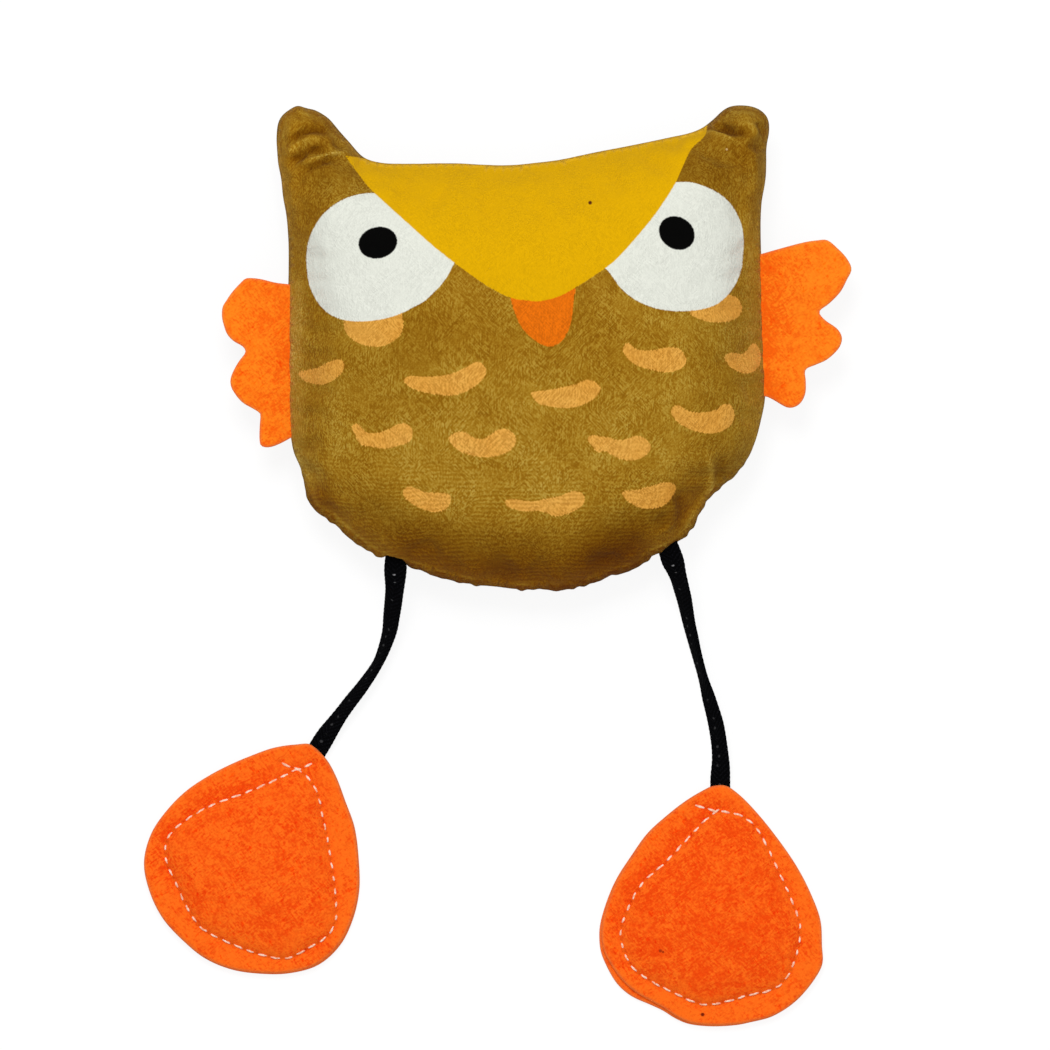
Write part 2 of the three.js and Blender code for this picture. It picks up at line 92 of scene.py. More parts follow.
# Folds of the plush: the line that each follows, its width, and its depth, which is negative for a ridge
CREASES = [
    ([(-61.4, 53.4), (-59.0, 55.5), (-57.0, 56.7), (-54.8, 57.3), (-52.0, 57.2), (-50.0, 56.2)], 1.2, 1.5),
    ([(-61.6, 50.8), (-59.5, 53.0), (-57.4, 54.1), (-55.4, 55.0), (-52.8, 54.8)], 1.1, -0.7),
    ([(-61.2, 49.0), (-58.5, 50.1), (-56.5, 51.3), (-54.3, 52.0), (-51.8, 51.6)], 0.9, 1.2),
    ([(-57.4, 48.6), (-53.9, 49.7), (-50.2, 50.9), (-45.8, 51.1)], 0.55, -0.9),
    ([(-57.2, 46.3), (-54.4, 47.8), (-51.4, 49.2), (-48.8, 50.0)], 0.8, 0.9),
    ([(-49.6, 54.4), (-46.9, 52.4)], 1.0, 0.7),
    ([(-58.6, 62.6), (-57.2, 61.6), (-55.8, 60.8)], 0.6, -0.5),
    ([(-60.0, 61.4), (-57.6, 60.4)], 0.8, 0.5),
    ([(49.6, 57.8), (52.4, 57.7), (55.4, 56.8), (58.8, 56.5)], 1.3, 1.6),
    ([(47.4, 56.5), (50.6, 56.2), (53.0, 55.3), (55.2, 54.4)], 0.6, -0.8),
    ([(60.8, 59.4), (62.0, 57.4), (62.2, 55.6)], 0.8, 0.9),
    ([(58.2, 59.2), (60.0, 57.4), (60.4, 55.2)], 0.8, -0.5),
    ([(58.4, 53.6), (61.6, 51.8)], 0.9, 0.6),
    ([(58.6, 47.0), (58.0, 41.0), (58.8, 35.0)], 1.8, 0.2),
    ([(47.6, -26.8), (48.8, -31.0), (48.4, -35.5), (45.6, -40.3), (42.6, -44.4), (40.7, -48.2)], 1.0, -0.8),
    ([(51.6, -27.0), (51.4, -31.0), (49.8, -34.5)], 2.2, 0.7),
    ([(39.0, -37.0), (41.0, -40.0), (41.2, -43.4), (39.6, -46.6)], 1.6, 0.9),
    ([(35.4, -42.6), (37.4, -46.8)], 2.6, 0.7),
    ([(-57.0, -31.6), (-55.8, -36.4)], 1.2, -0.5),
    ([(-53.6, -33.4), (-51.6, -39.6), (-47.0, -44.4)], 2.4, 0.4),
    ([(-13.0, -56.4), (-6.0, -58.0), (1.0, -57.6)], 2.2, 0.4),
    ([(14.0, -56.4), (21.0, -54.4), (27.0, -52.6)], 2.2, 0.4),
]

# Print of the front panel
BROW_EDGE = [
    (-46.2, 50.4), (-44.1, 47.5), (-40.0, 42.2), (-35.5, 37.9), (-29.4, 32.4), (-23.0, 26.7),
    (-15.1, 20.6), (-8.6, 16.2), (-3.3, 13.6), (1.7, 12.8), (4.2, 12.7), (9.1, 13.9), (13.1, 16.0),
    (19.0, 19.8), (23.5, 23.1), (29.6, 29.7), (34.5, 35.8), (39.4, 43.4), (41.5, 48.2),
    (43.8, 52.6), (47.1, 55.8), (47.7, 58.5),
]
BROW_TOP = [(47.4, 70.0), (-40.4, 70.0), (-40.8, 49.7)]
LEFT_EYE = [
    (-17.0, 26.0), (-35.0, 40.6), (-38.6, 40.8), (-42.0, 40.6), (-46.5, 39.3), (-49.7, 37.4),
    (-52.2, 35.2), (-54.2, 32.3), (-55.7, 29.1), (-56.5, 25.0), (-56.2, 19.3), (-55.6, 16.5),
    (-54.3, 13.6), (-52.7, 11.2), (-50.6, 9.3), (-47.8, 8.0), (-44.5, 7.3), (-41.2, 7.3),
    (-38.0, 7.6), (-34.7, 8.3), (-31.4, 9.5), (-28.6, 10.9), (-25.7, 12.5), (-23.0, 15.0),
    (-20.5, 17.8), (-18.7, 20.9),
]
RIGHT_EYE = [
    (57.3, 28.0), (56.8, 32.2), (55.6, 35.2), (54.1, 37.7), (51.9, 39.9), (49.4, 41.5),
    (46.3, 42.8), (43.4, 43.6), (39.8, 43.6), (35.0, 43.0), (17.9, 24.0), (21.6, 20.7),
    (25.5, 15.6), (28.0, 13.5), (30.9, 11.9), (34.1, 10.7), (37.2, 10.1), (40.6, 9.9),
    (44.3, 10.1), (47.5, 10.7), (50.3, 11.8), (52.5, 13.5), (54.4, 15.8), (55.8, 18.4),
    (56.8, 21.4), (57.1, 24.6),
]
PUPILS = [((-37.8, 27.8), (5.1, 4.1), 13.0), ((39.8, 30.3), (4.9, 4.15), -35.0)]  # middle, half axes, turn
BEAK = [
    (13.0, 17.0), (-3.6, 17.0), (-3.3, 13.4), (-2.9, 11.6), (-2.1, 9.2), (-1.1, 6.9), (0.2, 4.9),
    (1.9, 3.3), (3.9, 1.8), (5.9, 0.9), (7.4, 0.8), (8.7, 1.4), (10.2, 2.6), (11.3, 4.3),
    (12.2, 6.6), (12.7, 9.1), (12.9, 12.0),
]
FEATHERS = [
    [(-46.5, 5.4), (-46.0, 9.0), (-39.0, 11.0), (-32.0, 10.4), (-31.3, 6.2), (-31.8, 4.1), (-34.5, 1.8),
     (-37.5, 0.8), (-41.7, 1.3), (-44.3, 2.6)],
    [(-58.5, -5.9), (-56.7, -5.3), (-54.1, -4.8), (-51.7, -3.8), (-49.0, -2.6), (-47.0, -2.8),
     (-46.4, -4.2), (-47.1, -5.9), (-49.0, -7.6), (-51.9, -9.0), (-54.5, -8.8), (-57.2, -7.9)],
    [(-31.1, -7.9), (-29.8, -6.9), (-26.0, -7.0), (-21.0, -6.7), (-17.0, -5.7), (-14.2, -4.1),
     (-12.3, -3.2), (-10.7, -3.6), (-9.7, -5.2), (-10.2, -7.2), (-12.0, -9.0), (-14.6, -10.7),
     (-18.7, -11.9), (-22.5, -11.7), (-26.8, -10.8), (-29.9, -9.4)],
    [(2.0, -11.2), (4.1, -10.7), (7.1, -10.4), (10.4, -9.7), (13.1, -9.0), (15.3, -8.1), (17.0, -7.8),
     (18.6, -8.4), (20.1, -10.0), (19.4, -11.6), (17.7, -13.2), (13.9, -14.8), (11.4, -15.2),
     (6.0, -14.6), (3.9, -14.0), (2.6, -12.7)],
    [(25.8, 0.2), (26.8, 1.7), (28.0, 1.2), (29.2, 0.2), (31.5, -0.2), (34.4, 0.0), (37.4, 0.6),
     (39.8, 0.5), (41.4, -0.7), (42.3, -2.5), (41.4, -4.5), (39.3, -5.5), (36.3, -5.8), (33.1, -5.2),
     (30.3, -4.4), (28.0, -3.2), (26.4, -1.5)],
    [(52.2, -2.1), (53.2, -0.9), (54.9, -0.8), (56.6, -1.1), (58.0, -0.3), (58.9, 1.1), (59.9, 1.8),
     (60.9, 0.9), (61.7, -1.2), (61.5, -3.5), (60.4, -5.2), (58.3, -6.1), (55.7, -5.6), (53.5, -4.1)],
    [(43.1, 9.5), (45.0, 13.0), (52.0, 14.6), (54.0, 14.1), (55.2, 13.8), (56.1, 12.7), (56.8, 10.9),
     (56.1, 8.9), (54.5, 7.8), (51.1, 7.1), (47.1, 7.5), (45.2, 8.2)],
    [(38.3, -16.1), (39.1, -14.6), (40.4, -14.4), (42.1, -15.6), (44.7, -16.3), (47.6, -16.2),
     (50.0, -15.5), (51.8, -14.2), (53.5, -14.2), (54.5, -15.5), (54.8, -17.3), (53.9, -19.5),
     (51.6, -21.1), (48.5, -21.7), (45.0, -21.2), (42.0, -20.0), (39.6, -18.4)],
    [(-44.4, -20.0), (-43.4, -19.2), (-42.0, -20.2), (-40.8, -21.4), (-38.2, -21.6), (-35.6, -20.9),
     (-32.9, -19.5), (-30.5, -19.2), (-28.9, -20.6), (-28.8, -22.3), (-29.9, -24.1), (-32.5, -24.9),
     (-35.8, -25.7), (-39.1, -25.3), (-42.3, -24.5), (-43.6, -22.3)],
    [(-19.4, -22.7), (-17.9, -21.6), (-15.1, -21.4), (-13.3, -22.6), (-11.0, -23.2), (-8.9, -22.3),
     (-6.8, -20.9), (-4.3, -20.7), (-2.4, -22.1), (-1.9, -23.8), (-3.2, -26.0), (-6.1, -27.4),
     (-9.6, -27.9), (-13.5, -27.4), (-16.8, -26.2), (-18.8, -24.4)],
    [(16.6, -23.0), (17.7, -22.2), (20.0, -22.5), (22.3, -22.8), (24.2, -23.4), (26.6, -23.3),
     (28.7, -22.4), (30.6, -22.6), (32.2, -23.7), (33.1, -25.3), (32.2, -27.0), (30.4, -28.2),
     (27.8, -28.8), (25.2, -28.4), (22.7, -27.2), (21.0, -26.3), (19.3, -26.6), (17.5, -24.8)],
    [(-31.3, -36.8), (-30.1, -35.6), (-27.9, -36.0), (-25.3, -37.0), (-22.0, -37.1), (-19.3, -37.6),
     (-19.0, -39.3), (-20.1, -41.4), (-22.5, -42.2), (-25.6, -41.6), (-28.5, -40.3), (-30.7, -38.5)],
    [(-4.8, -39.5), (-4.1, -38.9), (-1.9, -38.8), (0.8, -39.2), (3.0, -39.3), (5.2, -38.8),
     (7.7, -38.3), (10.1, -37.8), (11.8, -37.0), (13.4, -36.7), (15.0, -37.1), (15.9, -38.5),
     (15.5, -40.1), (12.7, -42.1), (8.4, -43.2), (6.6, -42.6), (4.0, -41.9), (0.5, -42.0),
     (-2.3, -41.4), (-4.1, -40.8)],
    [(25.5, -37.0), (27.2, -36.5), (29.5, -36.4), (31.9, -35.7), (34.0, -35.2), (36.1, -34.5),
     (38.3, -34.5), (39.6, -35.5), (39.1, -37.4), (37.8, -39.3), (35.5, -40.9), (32.9, -41.3),
     (30.1, -41.0), (27.7, -39.7), (26.1, -38.3)],
]

# Specks of lint caught on the plush and on a foot: where, their radius and colour
PLUSH_LINT = [((17.3, 38.2), 0.5, "#5A2A0C"), ((52.8, 52.1), 0.3, "#C8A870")]
FELT_LINT = [
    ((46.6, -172.9), 0.5, "#7A1E06"), ((35.6, -156.3), 0.45, "#A83208"),
    ((36.3, -156.6), 0.35, "#A83208"),
]

# Each wing: its cut edge from one end of the root round to the other, the ends of the part in the seam, and
# how much redder its felt is at the root and all over
WINGS = {
    "left": {
        "edge": [
            (-60.9, 17.1), (-64.4, 17.5), (-68.1, 18.4), (-70.5, 18.7), (-72.2, 18.6), (-73.9, 17.1),
            (-75.8, 15.0), (-77.3, 12.8), (-78.2, 11.3), (-78.4, 8.6), (-77.9, 6.4), (-77.1, 4.2),
            (-75.5, 2.4), (-73.0, 0.9), (-72.3, -0.1), (-72.4, -0.8), (-73.9, -2.8), (-75.5, -5.6),
            (-76.2, -7.7), (-76.0, -9.6), (-74.8, -11.7), (-73.0, -13.7), (-69.9, -15.5),
            (-68.5, -16.5), (-68.4, -17.2), (-68.6, -20.0), (-68.6, -23.7), (-68.3, -24.8),
            (-67.2, -25.3), (-65.6, -25.2), (-63.2, -24.3), (-60.4, -22.8),
        ],
        "root": [(-55.0, -22.4), (-55.0, 16.6)],
        "side": -1,
        "drawn_in": (0.5, 0.35),
    },
    "right": {
        "edge": [
            (61.9, -12.0), (63.4, -12.2), (65.2, -13.1), (68.7, -15.0), (70.6, -14.8), (72.2, -13.6),
            (73.3, -11.2), (73.4, -7.9), (73.3, -5.2), (76.1, -3.8), (78.9, -2.5), (82.2, 0.8),
            (82.8, 3.3), (81.6, 5.5), (78.3, 7.9), (76.9, 9.9), (79.4, 12.0), (82.4, 15.1),
            (84.1, 18.3), (85.3, 21.0), (84.1, 23.8), (81.6, 26.5), (78.9, 28.6), (76.2, 28.5),
            (73.4, 28.1), (67.9, 26.7), (61.9, 25.0),
        ],
        "root": [(56.0, 24.4), (56.0, -11.6)],
        "side": 1,
        "drawn_in": (1.2, 0.05),
    },
}

# Each leg: how far its tape leans towards its edge, in degrees at shares of its length; how far it bows to
# the right of its route, likewise; the foot's cut edge, anticlockwise from its tip; how the back felt lies
# under the front one; how much its front felt is painted redder over the pad, as shade; and the line of
# stitches as sewn, which crosses itself at the tip
LEGS = {
    "left": {
        "leans": [
            (0.0, 8.0), (0.12, 28.0), (0.19, 30.0), (0.26, 36.0), (0.33, 42.0), (0.4, 52.0), (0.46, 58.0),
            (0.53, 65.0), (0.6, 61.0), (0.67, 56.5), (0.75, 52.0), (0.83, 50.0), (0.89, 41.0), (0.95, 24.0),
            (1.0, 5.0),
        ],
        "bows": [(0.0, 0.2), (0.25, 0.3), (0.4, 0.6), (0.52, 0.85), (0.8, 1.0), (0.9, 0.8), (1.0, 0.35)],
        "edge": [
            (-55.0, -102.9), (-56.2, -102.4), (-59.0, -102.6), (-62.0, -102.9), (-65.5, -103.6),
            (-69.0, -104.8), (-75.8, -107.6), (-82.0, -110.8), (-87.8, -114.7), (-92.7, -119.6),
            (-96.9, -125.8), (-98.8, -133.4), (-97.3, -141.0), (-93.9, -147.9), (-89.0, -153.3),
            (-83.2, -158.0), (-76.3, -160.9), (-69.0, -162.0), (-61.2, -161.9), (-53.6, -159.7),
            (-47.9, -154.5), (-44.6, -147.7), (-43.0, -140.4), (-43.1, -132.6), (-44.2, -123.9),
            (-46.6, -117.1), (-49.1, -110.5), (-51.6, -106.1),
        ],
        "back_shift": (0.25, -0.3),
        "drawn_in": 0.6,
        "back_bulge": None,
        "stitches": [
            (-63.3, -107.2), (-61.2, -108.3), (-58.6, -109.2), (-56.6, -110.8), (-54.7, -113.2),
            (-53.4, -116.2), (-52.4, -121.2), (-51.1, -126.9), (-50.1, -133.1), (-49.3, -138.8),
            (-48.8, -144.3), (-49.0, -148.7), (-51.1, -152.4), (-56.3, -155.7), (-61.5, -158.2),
            (-67.0, -157.6), (-72.9, -155.7), (-79.4, -152.9), (-83.6, -150.5), (-87.2, -145.6),
            (-90.6, -138.3), (-92.7, -133.6), (-93.2, -130.0), (-92.2, -126.4), (-88.8, -123.0),
            (-81.8, -118.8), (-72.9, -115.4), (-67.2, -113.1), (-63.1, -111.2), (-59.7, -109.5),
            (-56.6, -108.3), (-54.2, -107.1),
        ],
    },
    "right": {
        "leans": [
            (0.0, 10.0), (0.06, 36.0), (0.12, 41.0), (0.18, 43.0), (0.25, 50.0), (0.33, 57.0), (0.39, 60.0),
            (0.45, 65.5), (0.54, 69.0), (0.59, 65.0), (0.64, 54.0), (0.7, 49.0), (0.76, 43.0), (0.85, 42.0),
            (0.9, 37.0), (0.95, 24.0), (1.0, 3.0),
        ],
        "bows": [(0.0, 0.4), (0.1, 0.65), (0.2, 0.55), (0.33, 0.2), (0.43, 0.15), (0.52, 0.45), (0.75, 0.55),
                 (0.88, 0.35), (1.0, 0.1)],
        "edge": [
            (49.0, -113.5), (47.6, -114.1), (43.0, -116.8), (37.2, -121.3), (32.6, -125.6),
            (28.6, -131.2), (24.8, -137.1), (22.4, -142.5), (20.5, -149.0), (20.3, -152.5),
            (20.9, -156.3), (23.0, -160.3), (26.0, -164.3), (29.5, -167.3), (33.6, -169.6),
            (36.8, -171.4), (39.9, -173.5), (43.3, -175.0), (49.0, -175.7), (55.7, -175.4),
            (59.8, -174.6), (65.3, -173.1), (70.8, -169.5), (75.5, -164.1), (77.8, -159.7),
            (77.7, -155.0), (77.3, -148.4), (74.9, -141.7), (71.1, -134.3), (65.1, -125.7),
            (59.7, -119.2), (55.7, -115.3), (52.5, -113.3),
        ],
        "back_shift": (-0.5, -0.3),
        "drawn_in": 0.9,
        "back_bulge": ((26.0, -166.0), 9.0, 1.1),
        "stitches": [
            (44.3, -118.3), (47.2, -119.2), (50.1, -120.0), (52.9, -120.2), (57.1, -121.4),
            (60.5, -124.3), (63.1, -128.7), (66.4, -135.7), (69.8, -143.3), (71.9, -149.5),
            (71.6, -154.7), (69.8, -160.7), (67.2, -164.8), (63.8, -166.7), (58.6, -167.8),
            (53.4, -169.3), (48.2, -170.3), (44.9, -169.8), (39.6, -167.4), (33.1, -164.1),
            (28.5, -160.7), (25.9, -155.5), (25.4, -150.8), (27.7, -144.3), (31.1, -138.6),
            (36.3, -133.9), (43.0, -126.9), (47.5, -122.2), (50.1, -120.1), (51.9, -118.7),
        ],
    },
}

# Routes of the tape between body and foot, from where it leaves the seam
ROUTES = {
    "left": [
        (0, 0, 15.0), (-0.3, -5.4, 12.6), (-1.1, -11.6, 7.6), (-2.3, -17.4, 3.9), (-5.1, -24.2, 2.9),
        (-9.1, -30.2, 2.8), (-13.5, -35.8, 2.4), (-17.5, -41.8, 1.8), (-19.4, -45.2, 1.6),
    ],
    "right": [
        (0, 0, 15.0), (1.3, -4.5, 12.6), (2.9, -10.1, 7.8), (4.4, -15.9, 4.0), (5.9, -21.7, 2.9),
        (7.3, -28.1, 2.8), (9.3, -35.5, 2.8), (11.5, -43.9, 2.4), (12.7, -51.9, 1.8), (12.8, -57.6, 1.6),
    ],
}

# The part's own sizes, taken from the frame, in millimetres
JOINT = {joint["name"]: np.array(joint["pos_m"]) / MM for joint in frame["joints"]}
SEAM_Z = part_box("front_panel")[0].z / MM
FRONT_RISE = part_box("front_panel")[1].z / MM - SEAM_Z
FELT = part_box("foot_left_back")[1].z / MM
PAD_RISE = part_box("foot_left_front")[1].z / MM - 2 * FELT
SEAM_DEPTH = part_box("leg_left_body_end")[1].y / MM - JOINT["leg_left_hip"][1]

# How far the back would swell below the seam, in millimetres, if the table did not stop it, and the power
# of the room round a place that the height of the swelling follows
BACK_DROP = 15.5
SWELL_POWER = 0.55

# Rounding the body's coarse skin draws its edge in by this much, in millimetres
LOST_IN_ROUNDING = 0.25

# Fineness of the meshes, in millimetres
BLANK_SPACING = 2.2
LINING_SPACING = 4.0
FILLING_SPACING = 2.8
POUCH_SPACING = 1.0
FELT_SPACING = 0.6
BACK_FELT_SPACING = 1.2
WADDING_SPACING = 1.6
TAPE_SPACING = 0.35

# The body's cloth as it is simulated
PLUSH_CLOTH = {
    "quality": 6, "mass": 0.25, "tension_stiffness": 12, "compression_stiffness": 12,
    "shear_stiffness": 6, "bending_stiffness": 0.6, "use_pressure": True,
    "uniform_pressure_force": 3.0, "shrink_min": -0.05, "vertex_group_mass": "seam",
}

# Settings that many nodes share
SOFT_STEP = {"interpolation_type": "SMOOTHSTEP"}
COLOUR_MIX = {"data_type": "RGBA", "out": "Result"}


def srgb(code):
    """A colour written as sRGB hex, turned to linear."""
    parts = [int(code[i:i + 2], 16) / 255 for i in (1, 3, 5)]
    return tuple(c / 12.92 if c <= 0.04045 else ((c + 0.055) / 1.055) ** 2.4 for c in parts) + (1.0,)


def length_property(name, description, millimetres):
    """A length for the sidebar."""
    return FloatProperty(name=name, description=description, default=millimetres * MM, unit="LENGTH")


def colour_property(name, description, code):
    """A colour for the sidebar, given as sRGB hex."""
    return FloatVectorProperty(
        name=name, description=description, default=srgb(code), size=4, subtype="COLOR", min=0, max=1)


class OwlSizes(bpy.types.PropertyGroup):
    """Sizes that a maker of the toy would change."""

    plush_thickness: length_property("Plush thickness", "Thickness of the plush", 1.2)
    seam_lip: length_property("Seam lip", "How far the body's seam stands out at the bottom", 0.8)
    swell: length_property("Swelling", "Most that the filling may move the plush", 2.2)
    tape_width: length_property("Tape width", "Width of the legs' tape", 5.2)
    tape_thickness: length_property("Tape thickness", "Thickness of the legs' tape", 1.2)
    stitch_pitch: length_property("Stitch pitch", "From one stitch to the next", 3.4)
    stitch_length: length_property("Stitch length", "Length of the longest stitches", 2.8)
    thread_thickness: length_property("Thread thickness", "Thickness of the feet's thread", 0.6)


class OwlColours(bpy.types.PropertyGroup):
    """Colours of the cloths and of the print."""

    plush: colour_property("Plush", "Ground colour of the plush", "#9D731A")
    feathers: colour_property("Feathers", "Printed feather marks", "#D69A40")
    eyes: colour_property("Eyes", "Printed eyes", "#E0E2D7")
    pupils: colour_property("Pupils", "Printed pupils", "#010101")
    brow: colour_property("Brow", "Printed brow", "#DCA802")
    beak: colour_property("Beak", "Printed beak", "#DE6C0B")
    wing_felt: colour_property("Wing felt", "Felt of the wings", "#FF841A")
    foot_felt: colour_property("Foot felt", "Felt of the feet", "#FF6E18")
    tape: colour_property("Tape", "Braided tape of the legs", "#030304")
    thread: colour_property("Thread", "Thread of the feet", "#FBDCC8")


# Curves, nets and heights, in millimetres


def smooth(points, closed=False, steps=6):
    """Points of a centripetal curve through the given ones, so many to each span."""
    given = np.array(points, float)
    if closed:
        around = np.vstack([given[-1], given, given[:2]])
    else:
        around = np.vstack([2 * given[0] - given[1], given, 2 * given[-1] - given[-2]])
    shares = np.linspace(0, 1, steps, endpoint=False)
    out = []
    for p0, p1, p2, p3 in zip(around, around[1:], around[2:], around[3:]):
        spans = (p1 - p0, p2 - p1, p3 - p2)
        d1, d2, d3 = (max(float(np.linalg.norm(span)) ** 0.5, 1e-6) for span in spans)
        m1 = ((p1 - p0) / d1 - (p2 - p0) / (d1 + d2) + (p2 - p1) / d2) * d2
        m2 = ((p2 - p1) / d2 - (p3 - p1) / (d2 + d3) + (p3 - p2) / d3) * d2
        for t in shares:
            out.append(p1 * (2 * t**3 - 3 * t**2 + 1) + m1 * (t**3 - 2 * t**2 + t)
                       + p2 * (3 * t**2 - 2 * t**3) + m2 * (t**3 - t**2))
    if not closed:
        out.append(given[-1])
    return np.array(out)


def lengths_along(line):
    """How far along a line each of its points lies."""
    return np.concatenate([[0], np.cumsum(np.linalg.norm(np.diff(line, axis=0), axis=1))])


def read_off(line, along, places):
    """Points of a line at the given places along it."""
    return np.column_stack([np.interp(places, along, values) for values in line.T])


def evenly(line, spacing, closed=False):
    """The same line with its points at even steps of about the spacing."""
    if closed:
        line = np.vstack([line, line[:1]])
    along = lengths_along(line)
    count = max(3, round(along[-1] / spacing))
    places = np.linspace(0, along[-1], count + 1)
    if closed:
        places = places[:-1]
    return read_off(line, along, places)


def nearest_on(line, xy, closed=False):
    """Distance of each point to a line, and how far along the line the nearest place is."""
    start = line if closed else line[:-1]
    step = (np.roll(line, -1, axis=0) if closed else line[1:]) - start
    length = np.linalg.norm(step, axis=1)
    before = np.concatenate([[0], np.cumsum(length)[:-1]])
    best = np.full(len(xy), 1e9)
    place = np.zeros(len(xy))
    for a, d, size, so_far in zip(start, step, length, before):
        share = np.clip((xy - a) @ d / max(size * size, 1e-12), 0, 1)
        gap = np.linalg.norm(xy - a - share[:, None] * d, axis=1)
        nearer = gap < best
        best[nearer] = gap[nearer]
        place[nearer] = so_far + share[nearer] * size
    return best, place


def inside(loop, xy):
    """Which points lie inside a closed loop."""
    found = np.zeros(len(xy), bool)
    for (ax, ay), (bx, by) in zip(loop, np.roll(loop, -1, axis=0)):
        crosses = (ay > xy[:, 1]) != (by > xy[:, 1])
        where = (bx - ax) * (xy[:, 1] - ay) / np.where(by == ay, 1e-12, by - ay) + ax
        found ^= crosses & (xy[:, 0] < where)
    return found


def depth_in(loop, xy):
    """Distance inside a closed loop, negative outside it."""
    gap, _ = nearest_on(loop, xy, closed=True)
    return np.where(inside(loop, xy), gap, -gap)


def at_edge(loop, points, reach):
    """1 at and outside a closed loop, falling softly to 0 inside it over about twice the reach."""
    return bell(np.maximum(depth_in(loop, points[:, :2]), 0), reach)


def room_inside(loop, xy):
    """Room round each point of a closed loop: like a radius in the middle, and 0 at the loop."""
    nearness = np.zeros(len(xy))
    for a, b in zip(loop, np.roll(loop, -1, axis=0)):
        to_a, to_b = a - xy, b - xy
        angle = np.arctan2(to_a[:, 0] * to_b[:, 1] - to_a[:, 1] * to_b[:, 0], (to_a * to_b).sum(axis=1))
        nearness += 2 * angle / np.maximum(np.linalg.norm(to_a, axis=1) + np.linalg.norm(to_b, axis=1), 1e-9)
    return 2 * math.pi / np.maximum(np.abs(nearness), 1e-6)


def fullness(loop, xy, centre):
    """Room round each point as a share of the room at the centre of a closed loop."""
    return np.minimum(room_inside(loop, xy) / room_inside(loop, centre[None])[0], 1)


def circle(count):
    """So many points round a circle of radius 1."""
    angles = np.linspace(0, 2 * math.pi, count, endpoint=False)
    return np.column_stack([np.cos(angles), np.sin(angles)])


def unit(vectors):
    """The same directions with length 1."""
    return vectors / np.maximum(np.linalg.norm(vectors, axis=-1, keepdims=True), 1e-9)


def signed_area(loop):
    """Area of a closed loop, positive where it runs anticlockwise."""
    after = np.roll(loop, -1, axis=0)
    return (loop[:, 0] * after[:, 1] - loop[:, 1] * after[:, 0]).sum() / 2


def inset(loop, distance):
    """A closed anticlockwise loop moved inwards."""
    along = unit(np.roll(loop, -1, axis=0) - np.roll(loop, 1, axis=0))
    return loop + distance * np.column_stack([-along[:, 1], along[:, 0]])


def ease(share):
    """A soft step from 0 to 1."""
    share = np.clip(share, 0, 1)
    return share * share * (3 - 2 * share)


def bell(distance, width):
    """1 at no distance, falling softly to 0 over about twice the width."""
    return np.exp(-((distance / width) ** 2))


def raised(xy, height):
    """Points over flat places, at one height or at a height each."""
    return np.column_stack([xy, np.broadcast_to(height, len(xy))])


def grain(places, size, seed):
    """Smooth noise from -1 to 1, with features of about the size. The large numbers only mix the bits."""
    at = places / size
    low = np.floor(at).astype(np.int64)
    part = at - low
    part = part * part * (3 - 2 * part)
    total = np.zeros(len(places))
    for corner in range(8):
        step = np.array([corner & 1, corner >> 1 & 1, corner >> 2 & 1])
        cell = (low + step) * np.array([73856093, 19349663, 83492791]) + seed * 2654435761
        mixed = cell[:, 0] ^ cell[:, 1] ^ cell[:, 2]
        mixed = (mixed ^ (mixed >> 13)) * 1274126177 & 0xFFFFFFFF
        value = (mixed ^ (mixed >> 16) & 0xFFFF) % 65536 / 32768 - 1
        weight = np.where(step == 1, part, 1 - part).prod(axis=1)
        total += weight * value
    return total


def grains(places, *layers):
    """Layers of noise added up, each given as its height, its size and its seed."""
    return sum(height * grain(places, size, seed) for height, size, seed in layers)


def flat_net(loop, spacing, insets=()):
    """Triangles that fill a loop. The loop's own points come first, in order."""
    rings = [loop] + [inset(loop, d) for d in insets]
    clear = (insets[-1] if insets else 0) + 0.62 * spacing
    low, high = loop.min(axis=0), loop.max(axis=0)
    rows = np.arange(low[1], high[1], spacing * 3**0.5 / 2)
    grid = np.array([
        (x, y) for k, y in enumerate(rows)
        for x in np.arange(low[0] + (k % 2) * spacing / 2, high[0], spacing)
    ])
    grid = grid[depth_in(loop, grid) > clear]
    count = len(loop)
    edges = [(i, (i + 1) % count) for i in range(count)]
    made = delaunay_2d_cdt([Vector(p) for p in np.vstack([*rings, grid])], edges, [], 1, 1e-6)
    xy = np.array([tuple(v) for v in made[0]])
    order = {orig[0]: i for i, orig in enumerate(made[3]) if orig}
    first = [order[i] for i in range(count)]
    others = [i for i in range(len(xy)) if i not in set(first)]
    new_place = {old: new for new, old in enumerate(first + others)}
    faces = [tuple(new_place[v] for v in face) for face in made[2]]
    return xy[first + others], faces


def underside_of(faces, rim, count):
    """The faces of a second sheet under the first, which shares the points of its rim."""
    return [tuple(v if v < rim else v + count - rim for v in reversed(face)) for face in faces]


def set_places(piece, points):
    """Keeps a place in millimetres at each point of a piece, for its material."""
    data = piece.data.attributes["rest_mm"].data
    data.foreach_set("vector", np.asarray(points, np.float32).ravel())


def new_piece(name, points, faces, material):
    """A mesh piece from points in millimetres, with its rest place kept for the materials."""
    mesh = bpy.data.meshes.new(name)
    mesh.from_pydata([tuple(p) for p in points * MM], [], faces)
    mesh.validate()
    mesh.shade_smooth()
    mesh.attributes.new("rest_mm", "FLOAT_VECTOR", "POINT")
    mesh.materials.append(material)
    piece = bpy.data.objects.new(name, mesh)
    set_places(piece, points)
    bpy.context.scene.collection.objects.link(piece)
    return piece


def keep_values(piece, **named):
    """Stores numbers at the points of a piece, for its material. Points past the last number get 0."""
    for name, values in named.items():
        attribute = piece.data.attributes.new(name, "FLOAT", "POINT")
        padded = np.zeros(len(piece.data.vertices), np.float32)
        padded[:len(values)] = values
        attribute.data.foreach_set("value", padded)


